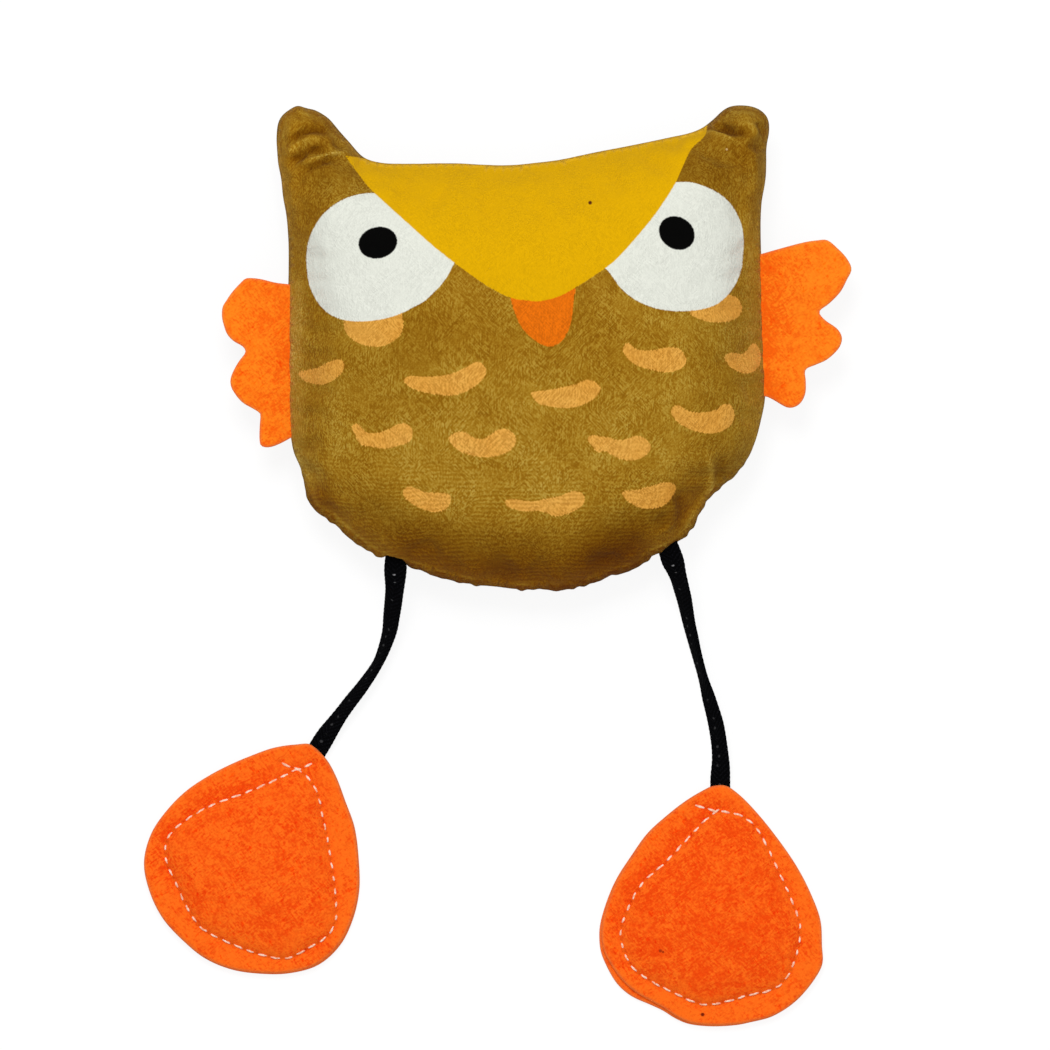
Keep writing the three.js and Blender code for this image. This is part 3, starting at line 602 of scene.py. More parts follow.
def plate(loop, spacing, top, bottom, insets=(0.25, 0.7)):
    """Closed plate over a loop: top and bottom give its heights from places and depths inside the edge."""
    xy, faces = flat_net(loop, spacing, insets)
    depth = np.maximum(depth_in(loop, xy), 0)
    depth[:len(loop)] = 0
    count, rim = len(xy), len(loop)
    under = [tuple(v + count for v in reversed(face)) for face in faces]
    wall = [(i, i + count, (i + 1) % rim + count, (i + 1) % rim) for i in range(rim)]
    points = np.vstack([raised(xy, top(xy, depth)), raised(xy, bottom(xy, depth))])
    return points, faces + under + wall


# Materials


def add_node(tree, kind, *values, out=0, **named):
    """Adds a node and gives one of its outputs. Values go to its inputs in order, or by name where the name
    starts with a capital. The other names are its settings."""
    node = tree.nodes.new("ShaderNode" + kind)
    inputs = dict(enumerate(values))
    for name, value in named.items():
        if name[0].isupper():
            inputs[name] = value
        else:
            setattr(node, name, value)
    for key, value in inputs.items():
        if isinstance(value, bpy.types.NodeSocket):
            tree.links.new(value, node.inputs[key])
        else:
            node.inputs[key].default_value = value
    return node.outputs[out]


def new_material(name, roughness, sheen, sheen_tint, specular):
    """A material with a cloth-like shader, what adds nodes to it, and the places in millimetres."""
    material = bpy.data.materials.new(name)
    material.use_nodes = True
    tree = material.node_tree
    shader = tree.nodes["Principled BSDF"]
    shader.inputs["Roughness"].default_value = roughness
    shader.inputs["Specular IOR Level"].default_value = specular
    shader.inputs["Sheen Weight"].default_value = sheen
    shader.inputs["Sheen Roughness"].default_value = 0.5
    shader.inputs["Sheen Tint"].default_value = sheen_tint
    add = partial(add_node, tree)
    return material, add, add("Attribute", attribute_name="rest_mm", out="Vector")


def finished(material, add, colour, height, rise):
    """The material with its colour, and with a pattern that raises its surface by so many millimetres."""
    tree = material.node_tree
    shader = tree.nodes["Principled BSDF"]
    tree.links.new(colour, shader.inputs["Base Color"])
    bump = add("Bump", Height=height, Strength=1.0, Distance=rise * MM)
    tree.links.new(bump, shader.inputs["Normal"])
    return material


def added_up(add, *patterns):
    """Patterns added up, each with its share."""
    total = 0.0
    for pattern, share in patterns:
        total = add("Math", pattern, share, total, operation="MULTIPLY_ADD")
    return total


def lying_fibres(add, place, width, length, leans, patch):
    """Fibres side by side, all sizes in millimetres: one set to each lean, each set clearest in its own
    patches."""
    total = 0.0
    for k, lean in enumerate(leans):
        turned = add("Mapping", Vector=place, Rotation=(0, 0, math.radians(lean)))
        thin = add("VectorMath", turned, (1 / width, 1 / length, 1 / width), operation="MULTIPLY")
        streaks = add("TexNoise", Vector=thin, Scale=1.0, Detail=1.0, Distortion=0.08)
        apart = add("VectorMath", place, (40.0 * k, 17.0 * k, 0), operation="ADD")
        patches = add("TexNoise", Vector=apart, Scale=1 / patch, Detail=1.0)
        weight = add("MapRange", patches, 0.35, 0.65, 0.4, 1.6, **SOFT_STEP)
        streaks = add("Math", streaks, 0.5, operation="SUBTRACT")
        total = add("Math", streaks, weight, total, operation="MULTIPLY_ADD")
    return add("Math", total, len(leans) ** -0.5, 0.5, operation="MULTIPLY_ADD")


def with_lint(add, place, ground, specks):
    """The ground with small specks on it."""
    flat = add("VectorMath", place, (1, 1, 0), operation="MULTIPLY")
    for (x, y), radius, colour in specks:
        gap = add("VectorMath", flat, (x, y, 0), operation="DISTANCE", out="Value")
        mask = add("MapRange", gap, radius * 1.3, radius * 0.6, **SOFT_STEP)
        ground = add("Mix", Factor=mask, A=ground, B=srgb(colour), **COLOUR_MIX)
    return ground


def plush_ground(add, place, colour):
    """Short plush, brushed this way and that, with rows of knitting that show low on the body. Returns the
    pile as a height, the same as a contrast from 0 to 1, how deep the painted shade lies, with random tone,
    and the ground, with painted shade and painted light on it."""
    fibres = lying_fibres(add, place, 0.34, 2.0, (42.0, -44.0, 4.0), 7.0)
    curls = add("TexNoise", Vector=place, Scale=1 / 0.42, Detail=2.0, Distortion=0.4)
    up = add("SeparateXYZ", place, out="Y")
    wander = add("TexNoise", Vector=place, Scale=1 / 7.0, Detail=1.0)
    wander = add("Math", wander, 2.0, up, operation="MULTIPLY_ADD")
    row_pitch = 1.05
    rows = add("Math", wander, 2 * math.pi / row_pitch, operation="MULTIPLY")
    rows = add("Math", rows, operation="SINE")
    low_down = add("MapRange", up, -16.0, -40.0, **SOFT_STEP)
    broken = add("TexNoise", Vector=place, Scale=1 / 6.0, Detail=2.0)
    broken = add("MapRange", broken, 0.36, 0.58, **SOFT_STEP)
    rows = add("Math", rows, add("Math", low_down, broken, operation="MULTIPLY"), operation="MULTIPLY")
    pile = added_up(add, (fibres, 0.66), (curls, 0.34), (rows, 0.065))
    contrast = add("MapRange", pile, 0.34, 0.66, **SOFT_STEP)
    cloudy = add("TexNoise", Vector=place, Scale=1 / 11.0, Detail=3.0)
    cloudy = add("MapRange", cloudy, 0.3, 0.7, 0.07, -0.07, **SOFT_STEP)
    # Painted shade by place, with random tone added
    depth = add("Attribute", attribute_name="depth_of_dye", out="Fac")
    depth = add("Math", depth, cloudy, operation="ADD")
    # The colour raised to a power: deeper in hue and darker where the painted shade is deeper, and in
    # streaks
    streaky = add("Math", depth, 1.23, operation="ADD")
    streaky = add("Math", contrast, -0.46, streaky, operation="MULTIPLY_ADD")
    dyed = add("Gamma", tuple(colour) + (1,), streaky)
    # Painted light and shade: the ground made brighter or darker by place
    light = add("Attribute", attribute_name="light_of_pile", out="Fac")
    return pile, contrast, depth, add("VectorMath", dyed, Scale=light, operation="SCALE")


# The plush's roughness, its sheen's strength and tint, and its shine; then how high its pile stands
PLUSH_LOOK = (0.95, 0.03, (0.95, 0.86, 0.6, 1), 0.05)
PILE_RISE = 0.3


def printed_plush(colours):
    """Short-pile polyester plush, knitted, brushed and printed with dyes: matt, with fine fibres that catch
    light in streaks, printed shapes whose edges follow the pile, and a painted highlight, lighter and paler,
    along the seam."""
    material, add, place = new_material("printed_plush", *PLUSH_LOOK)
    pile, contrast, depth, ground = plush_ground(add, place, colours.plush[:3])
    shade = add("Math", contrast, 0.30, 0.86, operation="MULTIPLY_ADD")
    fine = add("Math", contrast, 0.12, 0.94, operation="MULTIPLY_ADD")
    ragged = add("Math", pile, 0.5, operation="SUBTRACT")
    # The feathers take half the painted shade, with the pile's streaks
    half_deep = add("Math", depth, 0.5, 1.1, operation="MULTIPLY_ADD")
    half_deep = add("Math", contrast, -0.16, half_deep, operation="MULTIPLY_ADD")
    # Each printed shape: its colour, its texture, how ragged its edge is and how far the edge lies inwards
    layers = {
        "feathers": (add("Gamma", tuple(colours.feathers), half_deep), shade, 1.1, 0.0),
        "eyes": (colours.eyes[:3], fine, 0.4, 0.1),
        "pupils": (colours.pupils[:3], fine, 0.4, 0.0),
        "beak": (colours.beak[:3], shade, 0.7, 0.0),
        "brow": (colours.brow[:3], fine, 0.5, -0.1),
    }
    softness = 0.16
    for name, (colour, texture, rough, inwards) in layers.items():
        within = add("Attribute", attribute_name=name, out="Fac")
        edge = add("Math", ragged, rough, within, operation="MULTIPLY_ADD")
        mask = add("MapRange", edge, inwards - softness, inwards + softness, **SOFT_STEP)
        ink = add("VectorMath", colour, Scale=texture, operation="SCALE")
        ground = add("Mix", Factor=mask, A=ground, B=ink, **COLOUR_MIX)
    ground = with_lint(add, place, ground, PLUSH_LINT)
    # Painted highlight along the seam: lighter and paler at the body's edge
    lit_edge = add("Attribute", attribute_name="lit_edge", out="Fac")
    lighter = add("Math", lit_edge, 0.5, 1.0, operation="MULTIPLY_ADD")
    ground = add("VectorMath", ground, Scale=lighter, operation="SCALE")
    paler = add("Math", lit_edge, 0.06, operation="MULTIPLY")
    ground = add("Mix", Factor=paler, A=ground, B=srgb("#FFEBC0"), **COLOUR_MIX)
    return finished(material, add, ground, pile, PILE_RISE)


def plain_plush(colours):
    """The same plush without print, for the back: matt, streaky, a little darker."""
    material, add, place = new_material("plain_plush", *PLUSH_LOOK)
    pile, _, _, ground = plush_ground(add, place, [0.93 * c for c in colours.plush[:3]])
    return finished(material, add, ground, pile, PILE_RISE)


def felt(name, redder, lighter):
    """Needle-punched polyester felt, cut: matt, finely mottled, with short streaks of redder fibre, and
    dimples where a needle went through, with painted shadow in them, and a painted highlight along its cut
    edge. It is painted redder where a piece says so: towards the wings' roots, and as painted shade on the
    feet and along the wings' cut edges."""
    material, add, place = new_material(name, 0.95, 0.03, (1.0, 0.75, 0.5, 1), 0.05)
    streaks = lying_fibres(add, place, 0.45, 1.5, (-40.0, 55.0), 6.0)
    fine = add("TexNoise", Vector=place, Scale=1 / 0.6, Detail=2.0)
    clumps = add("TexNoise", Vector=place, Scale=1 / 2.4, Detail=2.0, Distortion=0.3)
    broad = add("TexNoise", Vector=place, Scale=1 / 8.0, Detail=2.0)
    mix = added_up(add, (streaks, 0.36), (fine, 0.2), (broad, 0.18), (clumps, 0.26))
    # Painted redder where a piece says so: as painted shade on the feet and along the wings' cut edges
    drawn = add("Attribute", attribute_name="drawn_in", out="Fac")
    shown = add("Math", drawn, -0.1, mix, operation="MULTIPLY_ADD")
    shown = add("MapRange", shown, 0.32, 0.56, **SOFT_STEP)
    base = add("Mix", Factor=shown, A=redder, B=lighter, **COLOUR_MIX)
    marks = lying_fibres(add, place, 0.7, 2.4, (-25.0, 48.0), 5.0)
    marks = add("MapRange", marks, 0.64, 0.8, **SOFT_STEP)
    base = add("Gamma", base, add("Math", marks, 0.25, 1.0, operation="MULTIPLY_ADD"))
    # Painted shadow in the needle holes
    dimple = add("Attribute", attribute_name="needle_holes", out="Fac")
    in_hole = tuple(c * 0.35 for c in redder[:3]) + (1,)
    base = add("Mix", Factor=dimple, A=base, B=in_hole, **COLOUR_MIX)
    base = with_lint(add, place, base, FELT_LINT)
    strength = add("MapRange", fine, 0.36, 0.64, **SOFT_STEP)
    strength = add("Math", strength, 0.08, 0.96, operation="MULTIPLY_ADD")
    base = add("VectorMath", base, Scale=strength, operation="SCALE")
    # Painted highlight along the cut edge, where loose fibres would catch the light
    loose = add("Attribute", attribute_name="loose_fibres", out="Fac")
    base = add("Mix", Factor=loose, A=base, B=srgb("#FFAC6C"), **COLOUR_MIX)
    return finished(material, add, base, mix, 0.24)


YARN_PITCH = 1.3  # millimetres from yarn to yarn of the tape


def braided_tape(colours):
    """Flat braided polyester tape: black yarns in a herringbone, their crowns a little lighter as painted
    sheen, and near its sewn end a row of pale specks, painted as light through gaps that the strain opens.
    The pattern lies across and along the tape."""
    material, add, place = new_material("braided_tape", 0.9, 0.0, (0.5, 0.5, 0.55, 1), 0.02)
    x, y = (add("SeparateXYZ", place, out=axis) for axis in "XY")
    ridge = add("Math", y, add("Math", x, operation="ABSOLUTE"), operation="ADD")
    ridge = add("Math", ridge, 2 * math.pi / YARN_PITCH, operation="MULTIPLY")
    yarn = add("MapRange", add("Math", ridge, operation="SINE"), -1.0, 1.0, **SOFT_STEP)
    fuzz = add("TexNoise", Vector=place, Scale=1 / 0.3, Detail=2.0)
    # Painted sheen: the crowns of the yarns a little lighter
    lit = add("Math", yarn, add("MapRange", fuzz, 0.4, 0.8, **SOFT_STEP), operation="MULTIPLY")
    base = add("Mix", Factor=lit, A=tuple(colours.tape), B=srgb("#17171B"), **COLOUR_MIX)
    # Painted light through gaps in the braid: pale specks near its sewn end
    gap_pitch, gap_radius = 2.5, 0.48
    step = add("Math", y, gap_pitch, operation="MODULO")
    step = add("Math", step, gap_pitch / 2, operation="SUBTRACT")
    sway = add("TexNoise", Vector=place, Scale=1 / 3.0, Detail=0.0)
    beside = add("Math", x, add("Math", sway, -1.6, 0.8, operation="MULTIPLY_ADD"), operation="ADD")
    reach = add("Math", beside, beside, operation="MULTIPLY")
    reach = add("Math", step, step, reach, operation="MULTIPLY_ADD")
    reach = add("Math", reach, 0.5, operation="POWER")
    strained = add("MapRange", y, 11.0, 4.0, 0.1, 0.9, **SOFT_STEP)
    here = add("TexNoise", Vector=place, Scale=1 / 2.0, Detail=0.0)
    here = add("MapRange", here, 0.46, 0.6, **SOFT_STEP)
    opened = add("Math", strained, here, operation="MULTIPLY")
    gaps = add("MapRange", reach, gap_radius, gap_radius * 0.3, **SOFT_STEP)
    gaps = add("Math", gaps, opened, operation="MULTIPLY")
    base = add("Mix", Factor=gaps, A=base, B=srgb("#A8A8AA"), **COLOUR_MIX)
    return finished(material, add, base, add("Math", yarn, 0.7, fuzz, operation="MULTIPLY_ADD"), 0.1)


def spun_thread(colours):
    """Thick spun polyester thread, two plies: off-white, with painted shade, a little pink, in random
    patches.
    """
    material, add, place = new_material("spun_thread", 0.8, 0.02, (1, 1, 1, 1), 0.15)
    fuzz = add("TexNoise", Vector=place, Scale=1 / 0.8, Detail=2.0)
    clean = add("MapRange", fuzz, 0.36, 0.6, **SOFT_STEP)
    colour = add("Mix", Factor=clean, A=srgb("#F2B08C"), B=tuple(colours.thread), **COLOUR_MIX)
    return finished(material, add, colour, fuzz, 0.1)


def wadding():
    """Siliconised polyester fibre, blown in: white, soft, with loose clumps."""
    material, add, place = new_material("polyester_wadding", 0.95, 0.05, (1, 1, 1, 1), 0.1)
    clumps = add("TexNoise", Vector=place, Scale=1 / 5.0, Detail=4.0, Distortion=1.0)
    colour = add("Mix", Factor=clumps, A=srgb("#DCDCD6"), B=srgb("#F6F6F2"), **COLOUR_MIX)
    return finished(material, add, colour, clumps, 1.0)


def plain_cotton():
    """Undyed plain-woven cotton: threads over and under each other, about ten to a centimetre here so that
    they show."""
    material, add, place = new_material("plain_cotton", 0.9, 0.05, (1, 1, 1, 1), 0.1)
    thread_spacing = 1.0
    rows = []
    for axis in "XY":
        turn = add("Math", add("SeparateXYZ", place, out=axis), 2 * math.pi / thread_spacing,
                   operation="MULTIPLY")
        rows.append(add("Math", turn, operation="SINE"))
    weave = add("MapRange", add("Math", *rows, operation="MULTIPLY"), -1.0, 1.0, **SOFT_STEP)
    colour = add("Mix", Factor=weave, A=srgb("#CFC2A4"), B=srgb("#EFE6CF"), **COLOUR_MIX)
    return finished(material, add, colour, weave, 0.2)


# Body


BODY_LOOP = smooth(BODY_EDGE, closed=True, steps=8)


def make_blank(sizes):
    """The body's skin before it is filled: a closed pillow whose first points are its seam."""
    lip = lip_width(BODY_LOOP[:, 1], sizes)
    loop = evenly(inset(BODY_LOOP, (lip - LOST_IN_ROUNDING)[:, None]), BLANK_SPACING, closed=True)
    xy, faces = flat_net(loop, BLANK_SPACING)
    rim, count = len(loop), len(xy)
    shape_loop = evenly(BODY_LOOP, 1.4, closed=True)
    fullest = np.array([[0.4, 0.0]])
    share = room_inside(shape_loop, xy[rim:]) / room_inside(shape_loop, fullest)[0]
    share = np.minimum(share, 1.02) ** SWELL_POWER
    seam = raised(xy[:rim], SEAM_Z)
    upper = raised(xy[rim:], SEAM_Z + FRONT_RISE * share)
    lower = raised(xy[rim:], np.maximum(SEAM_Z - BACK_DROP * share, 0.0))
    return np.vstack([seam, upper, lower]), faces, underside_of(faces, rim, count), rim


def read_all(items, name, width, kind=float):
    """One property of every item, in rows of the width."""
    out = np.empty(len(items) * width, kind)
    items.foreach_get(name, out)
    return out.reshape(-1, width)


def helper_object(name, points, faces):
    """An object for a modifier to work on, removed afterwards."""
    mesh = bpy.data.meshes.new(name)
    mesh.from_pydata([tuple(p) for p in points], [], faces)
    made = bpy.data.objects.new(name, mesh)
    bpy.context.scene.collection.objects.link(made)
    return made


def fill_with_fibre(points, faces, rim, most):
    """Cloth under pressure from inside, held at its seam. Each point moves by no more than most."""
    scale = 10.0  # the cloth is simulated ten times as large, at which its stiffness suits its size
    blank = helper_object("body_blank", points * MM * scale, faces)
    held = blank.vertex_groups.new(name="seam")
    held.add(list(range(rim)), 1.0, "REPLACE")
    cloth = blank.modifiers.new("Cloth", "CLOTH")
    for name, value in PLUSH_CLOTH.items():
        setattr(cloth.settings, name, value)
    cloth.settings.effector_weights.gravity = 0
    cloth.collision_settings.use_collision = False
    last_frame = 22
    cloth.point_cache.frame_end = last_frame
    scene = bpy.context.scene
    for at in range(1, last_frame + 1):
        scene.frame_set(at)
    moved = blank.evaluated_get(bpy.context.evaluated_depsgraph_get()).data
    step = read_all(moved.vertices, "co", 3) / (MM * scale) - points
    scene.frame_set(1)
    bpy.data.objects.remove(blank)
    size = np.linalg.norm(step, axis=1)
    return points + step * (most * np.tanh(size / most) / np.maximum(size, 1e-9))[:, None]


def subdivided(points, upper_faces, lower_faces, rim, levels):
    """The pillow with finer, rounder faces. Returns its points, normals and both sides' faces."""
    helper = helper_object("fine", points, upper_faces + lower_faces)
    mesh = helper.data
    side = mesh.attributes.new("side", "INT", "FACE")
    side.data.foreach_set("value", [0] * len(upper_faces) + [1] * len(lower_faces))
    crease = mesh.attributes.new("crease_edge", "FLOAT", "EDGE")
    ends = [tuple(edge.vertices) for edge in mesh.edges]
    crease.data.foreach_set(
        "value", [float(max(a, b) < rim and abs(a - b) in (1, rim - 1)) for a, b in ends])
    helper.modifiers.new("Subdivision", "SUBSURF").levels = levels
    fine = helper.evaluated_get(bpy.context.evaluated_depsgraph_get()).to_mesh()
    places, normals = (read_all(fine.vertices, name, 3) for name in ("co", "normal"))
    quads = read_all(fine.loops, "vertex_index", 1, int).reshape(-1, 4)
    sides = read_all(fine.attributes["side"].data, "value", 1, int)[:, 0]
    bpy.data.objects.remove(helper)
    return places, normals, quads[sides == 0], quads[sides == 1]


def seam_ring(quads):
    """The open edge of a sheet of quads, as an ordered loop."""
    edges = {(a, b) for quad in quads.tolist() for a, b in zip(quad, quad[1:] + quad[:1])}
    after = {a: b for a, b in edges if (b, a) not in edges}
    ring = [min(after)]
    while after[ring[-1]] != ring[0]:
        ring.append(after[ring[-1]])
    return ring


def lined_up(tree, xy, side, distance, floor):
    """Places under a skin, clear of it and of the folds near by."""
    reach = 1.3
    ring = [(0.0, 0.0)] + [(reach * math.cos(a), reach * math.sin(a)) for a in np.arange(8) * math.pi / 4]
    out = raised(xy, SEAM_Z)
    for i, (x, y) in enumerate(xy):
        levels = []
        for dx, dy in ring:
            start = Vector((x + dx, y + dy, SEAM_Z + 0.01 * side))
            hit, _, _, _ = tree.ray_cast(start, Vector((0, 0, side)))
            if hit is not None:
                levels.append(side * hit.z - distance * (1 if (dx, dy) == (0, 0) else 0.8))
        if levels:
            level = side * min(levels)
            out[i, 2] = max(level, SEAM_Z) if side > 0 else min(max(level, floor), SEAM_Z)
    return out


def lip_width(y, sizes):
    """How far the seam stands out: most at the bottom."""
    return sizes.seam_lip / MM * (0.4 + 0.6 * np.clip((-20 - y) / 25, 0, 1))


def folded_in(points, above):
    """How far the folds draw each point in."""
    folded = np.zeros(len(points))
    for line, width, deep in CREASES:
        path = smooth(line, steps=5)
        gap, place = nearest_on(path, points[:, :2])
        total = lengths_along(path)[-1]
        taper = np.clip(np.minimum(place, total - place) / (0.3 * total) + 0.25, 0, 1)
        folded += deep * bell(gap, width) * taper * (above > 0.3) * np.clip(above / 2.5, 0, 1)
    return folded


def body_relief(points, normals, body_loop, sizes):
    """The filled body with its folds, seam lip, puckers and tufts, and the painted shade and painted light
    of its pile.
    """
    depth = depth_in(body_loop, points[:, :2])
    above = points[:, 2] - SEAM_Z
    level = np.abs(above)
    folded = folded_in(points, above)
    _, along = nearest_on(body_loop, points[:, :2], closed=True)
    nowhere = np.zeros(len(along))
    wave = grain(np.column_stack([along, above * 0.5, nowhere]), 2.6, 5)
    pucker = 0.22 * wave * bell(level, 5.0) * np.clip(level / 0.8, 0, 1)
    out = points + normals * (pucker - folded)[:, None]

    uneven = 0.3 * grain(np.column_stack([along, nowhere, nowhere]), 1.5, 16)
    lip = lip_width(points[:, 1], sizes) + uneven * ease((-20 - points[:, 1]) / 25)
    lip *= np.clip(1 - level / 1.1, 0, 1) ** 0.7 * (depth < 6)
    out[:, :2] += unit(normals[:, :2]) * lip[:, None]
    tucked = 0.45 * bell(level, 3.0) * np.clip(-above / 0.8, 0, 1)
    out -= normals * tucked[:, None]
    for name, pulled in (("left", 1.9), ("right", 0.7)):
        beside = points[:, 0] - JOINT[f"leg_{name}_hip"][0] - 0.4
        near = np.exp(-((beside / 2.8) ** 4)) * bell(depth, 3.5) * np.clip(1 - level / 3, 0, 1)
        out[:, 1] += pulled * near * (points[:, 1] < 0)
    tufts = grains(points, (0.10, 1.3, 11), (0.10, 3.2, 12), (0.14, 11.0, 13))
    out += normals * (tufts * np.clip(level / 1.5, 0.2, 1))[:, None]
    return out, *pile_looks(points, depth, folded, above > 0.3)


def pile_looks(points, depth, folded, front):
    """Painted shade and painted light of the plush, by place: how much deeper and darker its colour is
    painted at each point, 0 being plain, and how much brighter it is painted, 1 being plain. Shade is
    painted low on the body, on the ears and in the folds, light on the ridges and next to the low seam, with
    random patches."""
    x, y = points[:, 0], points[:, 1]
    flat = points * (1, 1, 0)

    def patch(middle_x, middle_y, half_width, half_height):
        return bell(x - middle_x, half_width) * bell(y - middle_y, half_height)

    low_down = ease((-28 - y) / 14)
    middle_part = 1 - 0.5 * ease((np.abs(x) - 28) / 10)
    patchy = 1 + 0.3 * grain(flat, 9.0, 14)
    open_pile = np.clip(0.5 + 0.5 * grain(flat, 5.0, 15) + 0.5 * grain(flat, 1.7, 17), 0, 1)
    at_seam = np.maximum(low_down, 0.5 * ease((y - 50) / 6)) * front
    dye = (
        0.58 * middle_part * low_down * bell(np.maximum(depth - 4, 0), 7) * patchy
        # painted shade on the very edge of the seam, and a painted highlight just inside it, broken up at
        # random
        + at_seam * (0.4 * bell(depth - 0.75, 0.35) - 0.45 * open_pile * bell(depth - 1.5, 0.4))
        # painted shade in the folds, painted light on their ridges
        + np.where(folded > 0, 0.3, 0.42) * folded
        + 0.06 * ease((y - 26) / 16) * np.where(x < 0, 1, 0.4)  # on the ears
        + 0.15 * ease((y - 40) / 6) * ease((58 - x) / 8) * (x > 0)
        + 0.25 * patch(57.5, 49.5, 3, 4)
        + 0.09 * ease((-48 - x) / 4) - 0.26 * ease((-55 - x) / 4) * ease((22 - y) / 6)  # left edge
        - 0.14 * patch(-53, -33, 5, 6)
        - 0.1 * ease((x - 55) / 4) * bell(y, 24)  # right edge
        + 0.16 * patch(44, -36, 6, 8)  # beside the right fold
        + 0.09 * patch(-8, 5, 26, 10)  # under the beak
        - 0.08 * patch(0, -27, 42, 14)
    )
    over_eyes = ease((np.abs(x) - 32) / 8) * ease((58 - np.abs(x)) / 6) * bell(y - 45, 7)
    # Painted light and shade, as a factor on the plush's brightness
    light = (
        1
        + 0.34 * low_down * bell(depth, 5)  # painted highlight next to the seam
        - 0.17 * low_down * bell(depth - 11, 6)  # painted shade above that
        - 0.15 * over_eyes
        + 0.10 * ease((np.abs(x) - 56) / 4) * bell(y - 32, 12)  # beside the eyes
        - 0.07 * patch(-34, -2, 16, 16)  # flanks
        - 0.08 * ease((x - 38) / 12) * ease((20 - y) / 14)
        - 0.06 * ease((y - 42) / 5) * ease((x - 30) / 6)  # right ear
        + 0.14 * ease((-57 - x) / 3) * ease((y - 34) / 5)  # outer edge of the left ear
        - 0.06 * ease((-37 - y) / 7) * ease((-26 - x) / 8)  # low corners
        - 0.08 * ease((-37 - y) / 7) * ease((x - 14) / 10)
        + 0.2 * ease((x - 55) / 4) * bell(y + 19, 7)  # low on the right side
        # painted shade in the folds, painted light on their ridges
        - np.where(folded > 0, 0.12, 0.1) * folded
    )
    return dye, np.clip(light, 0.4, 1.5)


def rest_on_table(points):
    """Presses what lies below the table up to it, with a soft turn."""
    low = points[:, 2]
    softness = 0.5
    points[:, 2] = np.where(low < softness, softness * np.exp(np.minimum(low, softness) / softness - 1), low)
    points[:, 2] = np.where(points[:, 2] < 0.1, 0.0, points[:, 2])
    return points


def print_depths(piece, points):
    """Stores how deep each point lies inside each printed shape, in millimetres."""
    xy = points[:, :2]
    shapes = {
        "feathers": [smooth(shape, closed=True, steps=5) for shape in FEATHERS],
        "eyes": [smooth(shape, closed=True, steps=4) for shape in (LEFT_EYE, RIGHT_EYE)],
        "beak": [smooth(BEAK, closed=True, steps=4)],
        "brow": [np.vstack([smooth(BROW_EDGE, steps=5), BROW_TOP])],
        "pupils": [],
    }
    for middle, (long, short), turn in PUPILS:
        c, s = math.cos(math.radians(turn)), math.sin(math.radians(turn))
        shapes["pupils"].append(circle(40) * (long, short) @ np.array([[c, s], [-s, c]]) + middle)
    deepest, margin = 4.0, 3.0
    for name, loops in shapes.items():
        most = np.full(len(xy), -deepest)
        for loop in loops:
            near = ((xy > loop.min(axis=0) - margin) & (xy < loop.max(axis=0) + margin)).all(axis=1)
            most[near] = np.maximum(most[near], depth_in(loop, xy[near]))
        keep_values(piece, **{name: np.clip(most, -deepest, deepest)})


def lining(tree, loop, side, thickness):
    """The inner face of a panel, set in from the skin, whose first points follow the seam's loop."""
    net_loop = inset(loop[::side], thickness)
    xy, faces = flat_net(net_loop, LINING_SPACING)
    inner = lined_up(tree, xy, side, thickness, thickness)
    rim = len(net_loop)
    inner[:rim, 2] = SEAM_Z
    order = np.arange(len(xy))
    order[:rim] = order[:rim][::side]
    return inner[order], [tuple(int(order[v]) for v in face[::-side]) for face in faces]


class OWL_OT_body(bpy.types.Operator):
    """Makes the two plush panels, the filling between them and the pouch in it"""

    bl_idname = "owl.body"
    bl_label = "Body"

    def execute(self, context):
        sizes, colours = context.scene.owl_sizes, context.scene.owl_colours
        blank, upper, lower, rim = make_blank(sizes)
        blank = fill_with_fibre(blank, upper + lower, rim, sizes.swell / MM)
        points, normals, front_quads, back_quads = subdivided(blank, upper, lower, rim, 2)
        body_loop = evenly(BODY_LOOP, 1.0, closed=True)
        # Painted highlight along the seam's edge
        lit_edge = at_edge(body_loop, points, 0.4)
        points, dye, light = body_relief(points, normals, body_loop, sizes)
        points = rest_on_table(points)
        skins = {}
        for side, quads, name, node, slot, material in (
            (1, front_quads, "plush_front", "front_panel", "printed_plush", printed_plush(colours)),
            (-1, back_quads, "plush_back", "back_panel", "plain_plush", plain_plush(colours)),
        ):
            skins[side] = BVHTree.FromPolygons([Vector(p) for p in points], quads.tolist())
            used, corners = np.unique(quads, return_inverse=True)
            ring = seam_ring(quads)
            inner, inner_faces = lining(skins[side], points[ring][:, :2], side, sizes.plush_thickness / MM)
            ring = np.searchsorted(used, ring).tolist()
            count, rim = len(used), len(ring)
            faces = [tuple(quad) for quad in corners.reshape(-1, 4).tolist()]
            faces += [tuple(v + count for v in face) for face in inner_faces]
            faces += [(ring[(i + 1) % rim], ring[i], i + count, (i + 1) % rim + count) for i in range(rim)]
            both = np.vstack([points[used], inner])
            piece = new_piece(name, both, faces, material)
            # Painted shade, a painted highlight at the edge and painted light, kept for the materials
            keep_values(piece, depth_of_dye=dye[used], lit_edge=lit_edge[used],
                        light_of_pile=np.concatenate([light[used], np.ones(len(inner))]))
            if side > 0:
                print_depths(piece, both)
            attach(piece, "body")
            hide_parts(node)
        make_filling(skins, body_loop)
        make_pouch()
        return {"FINISHED"}


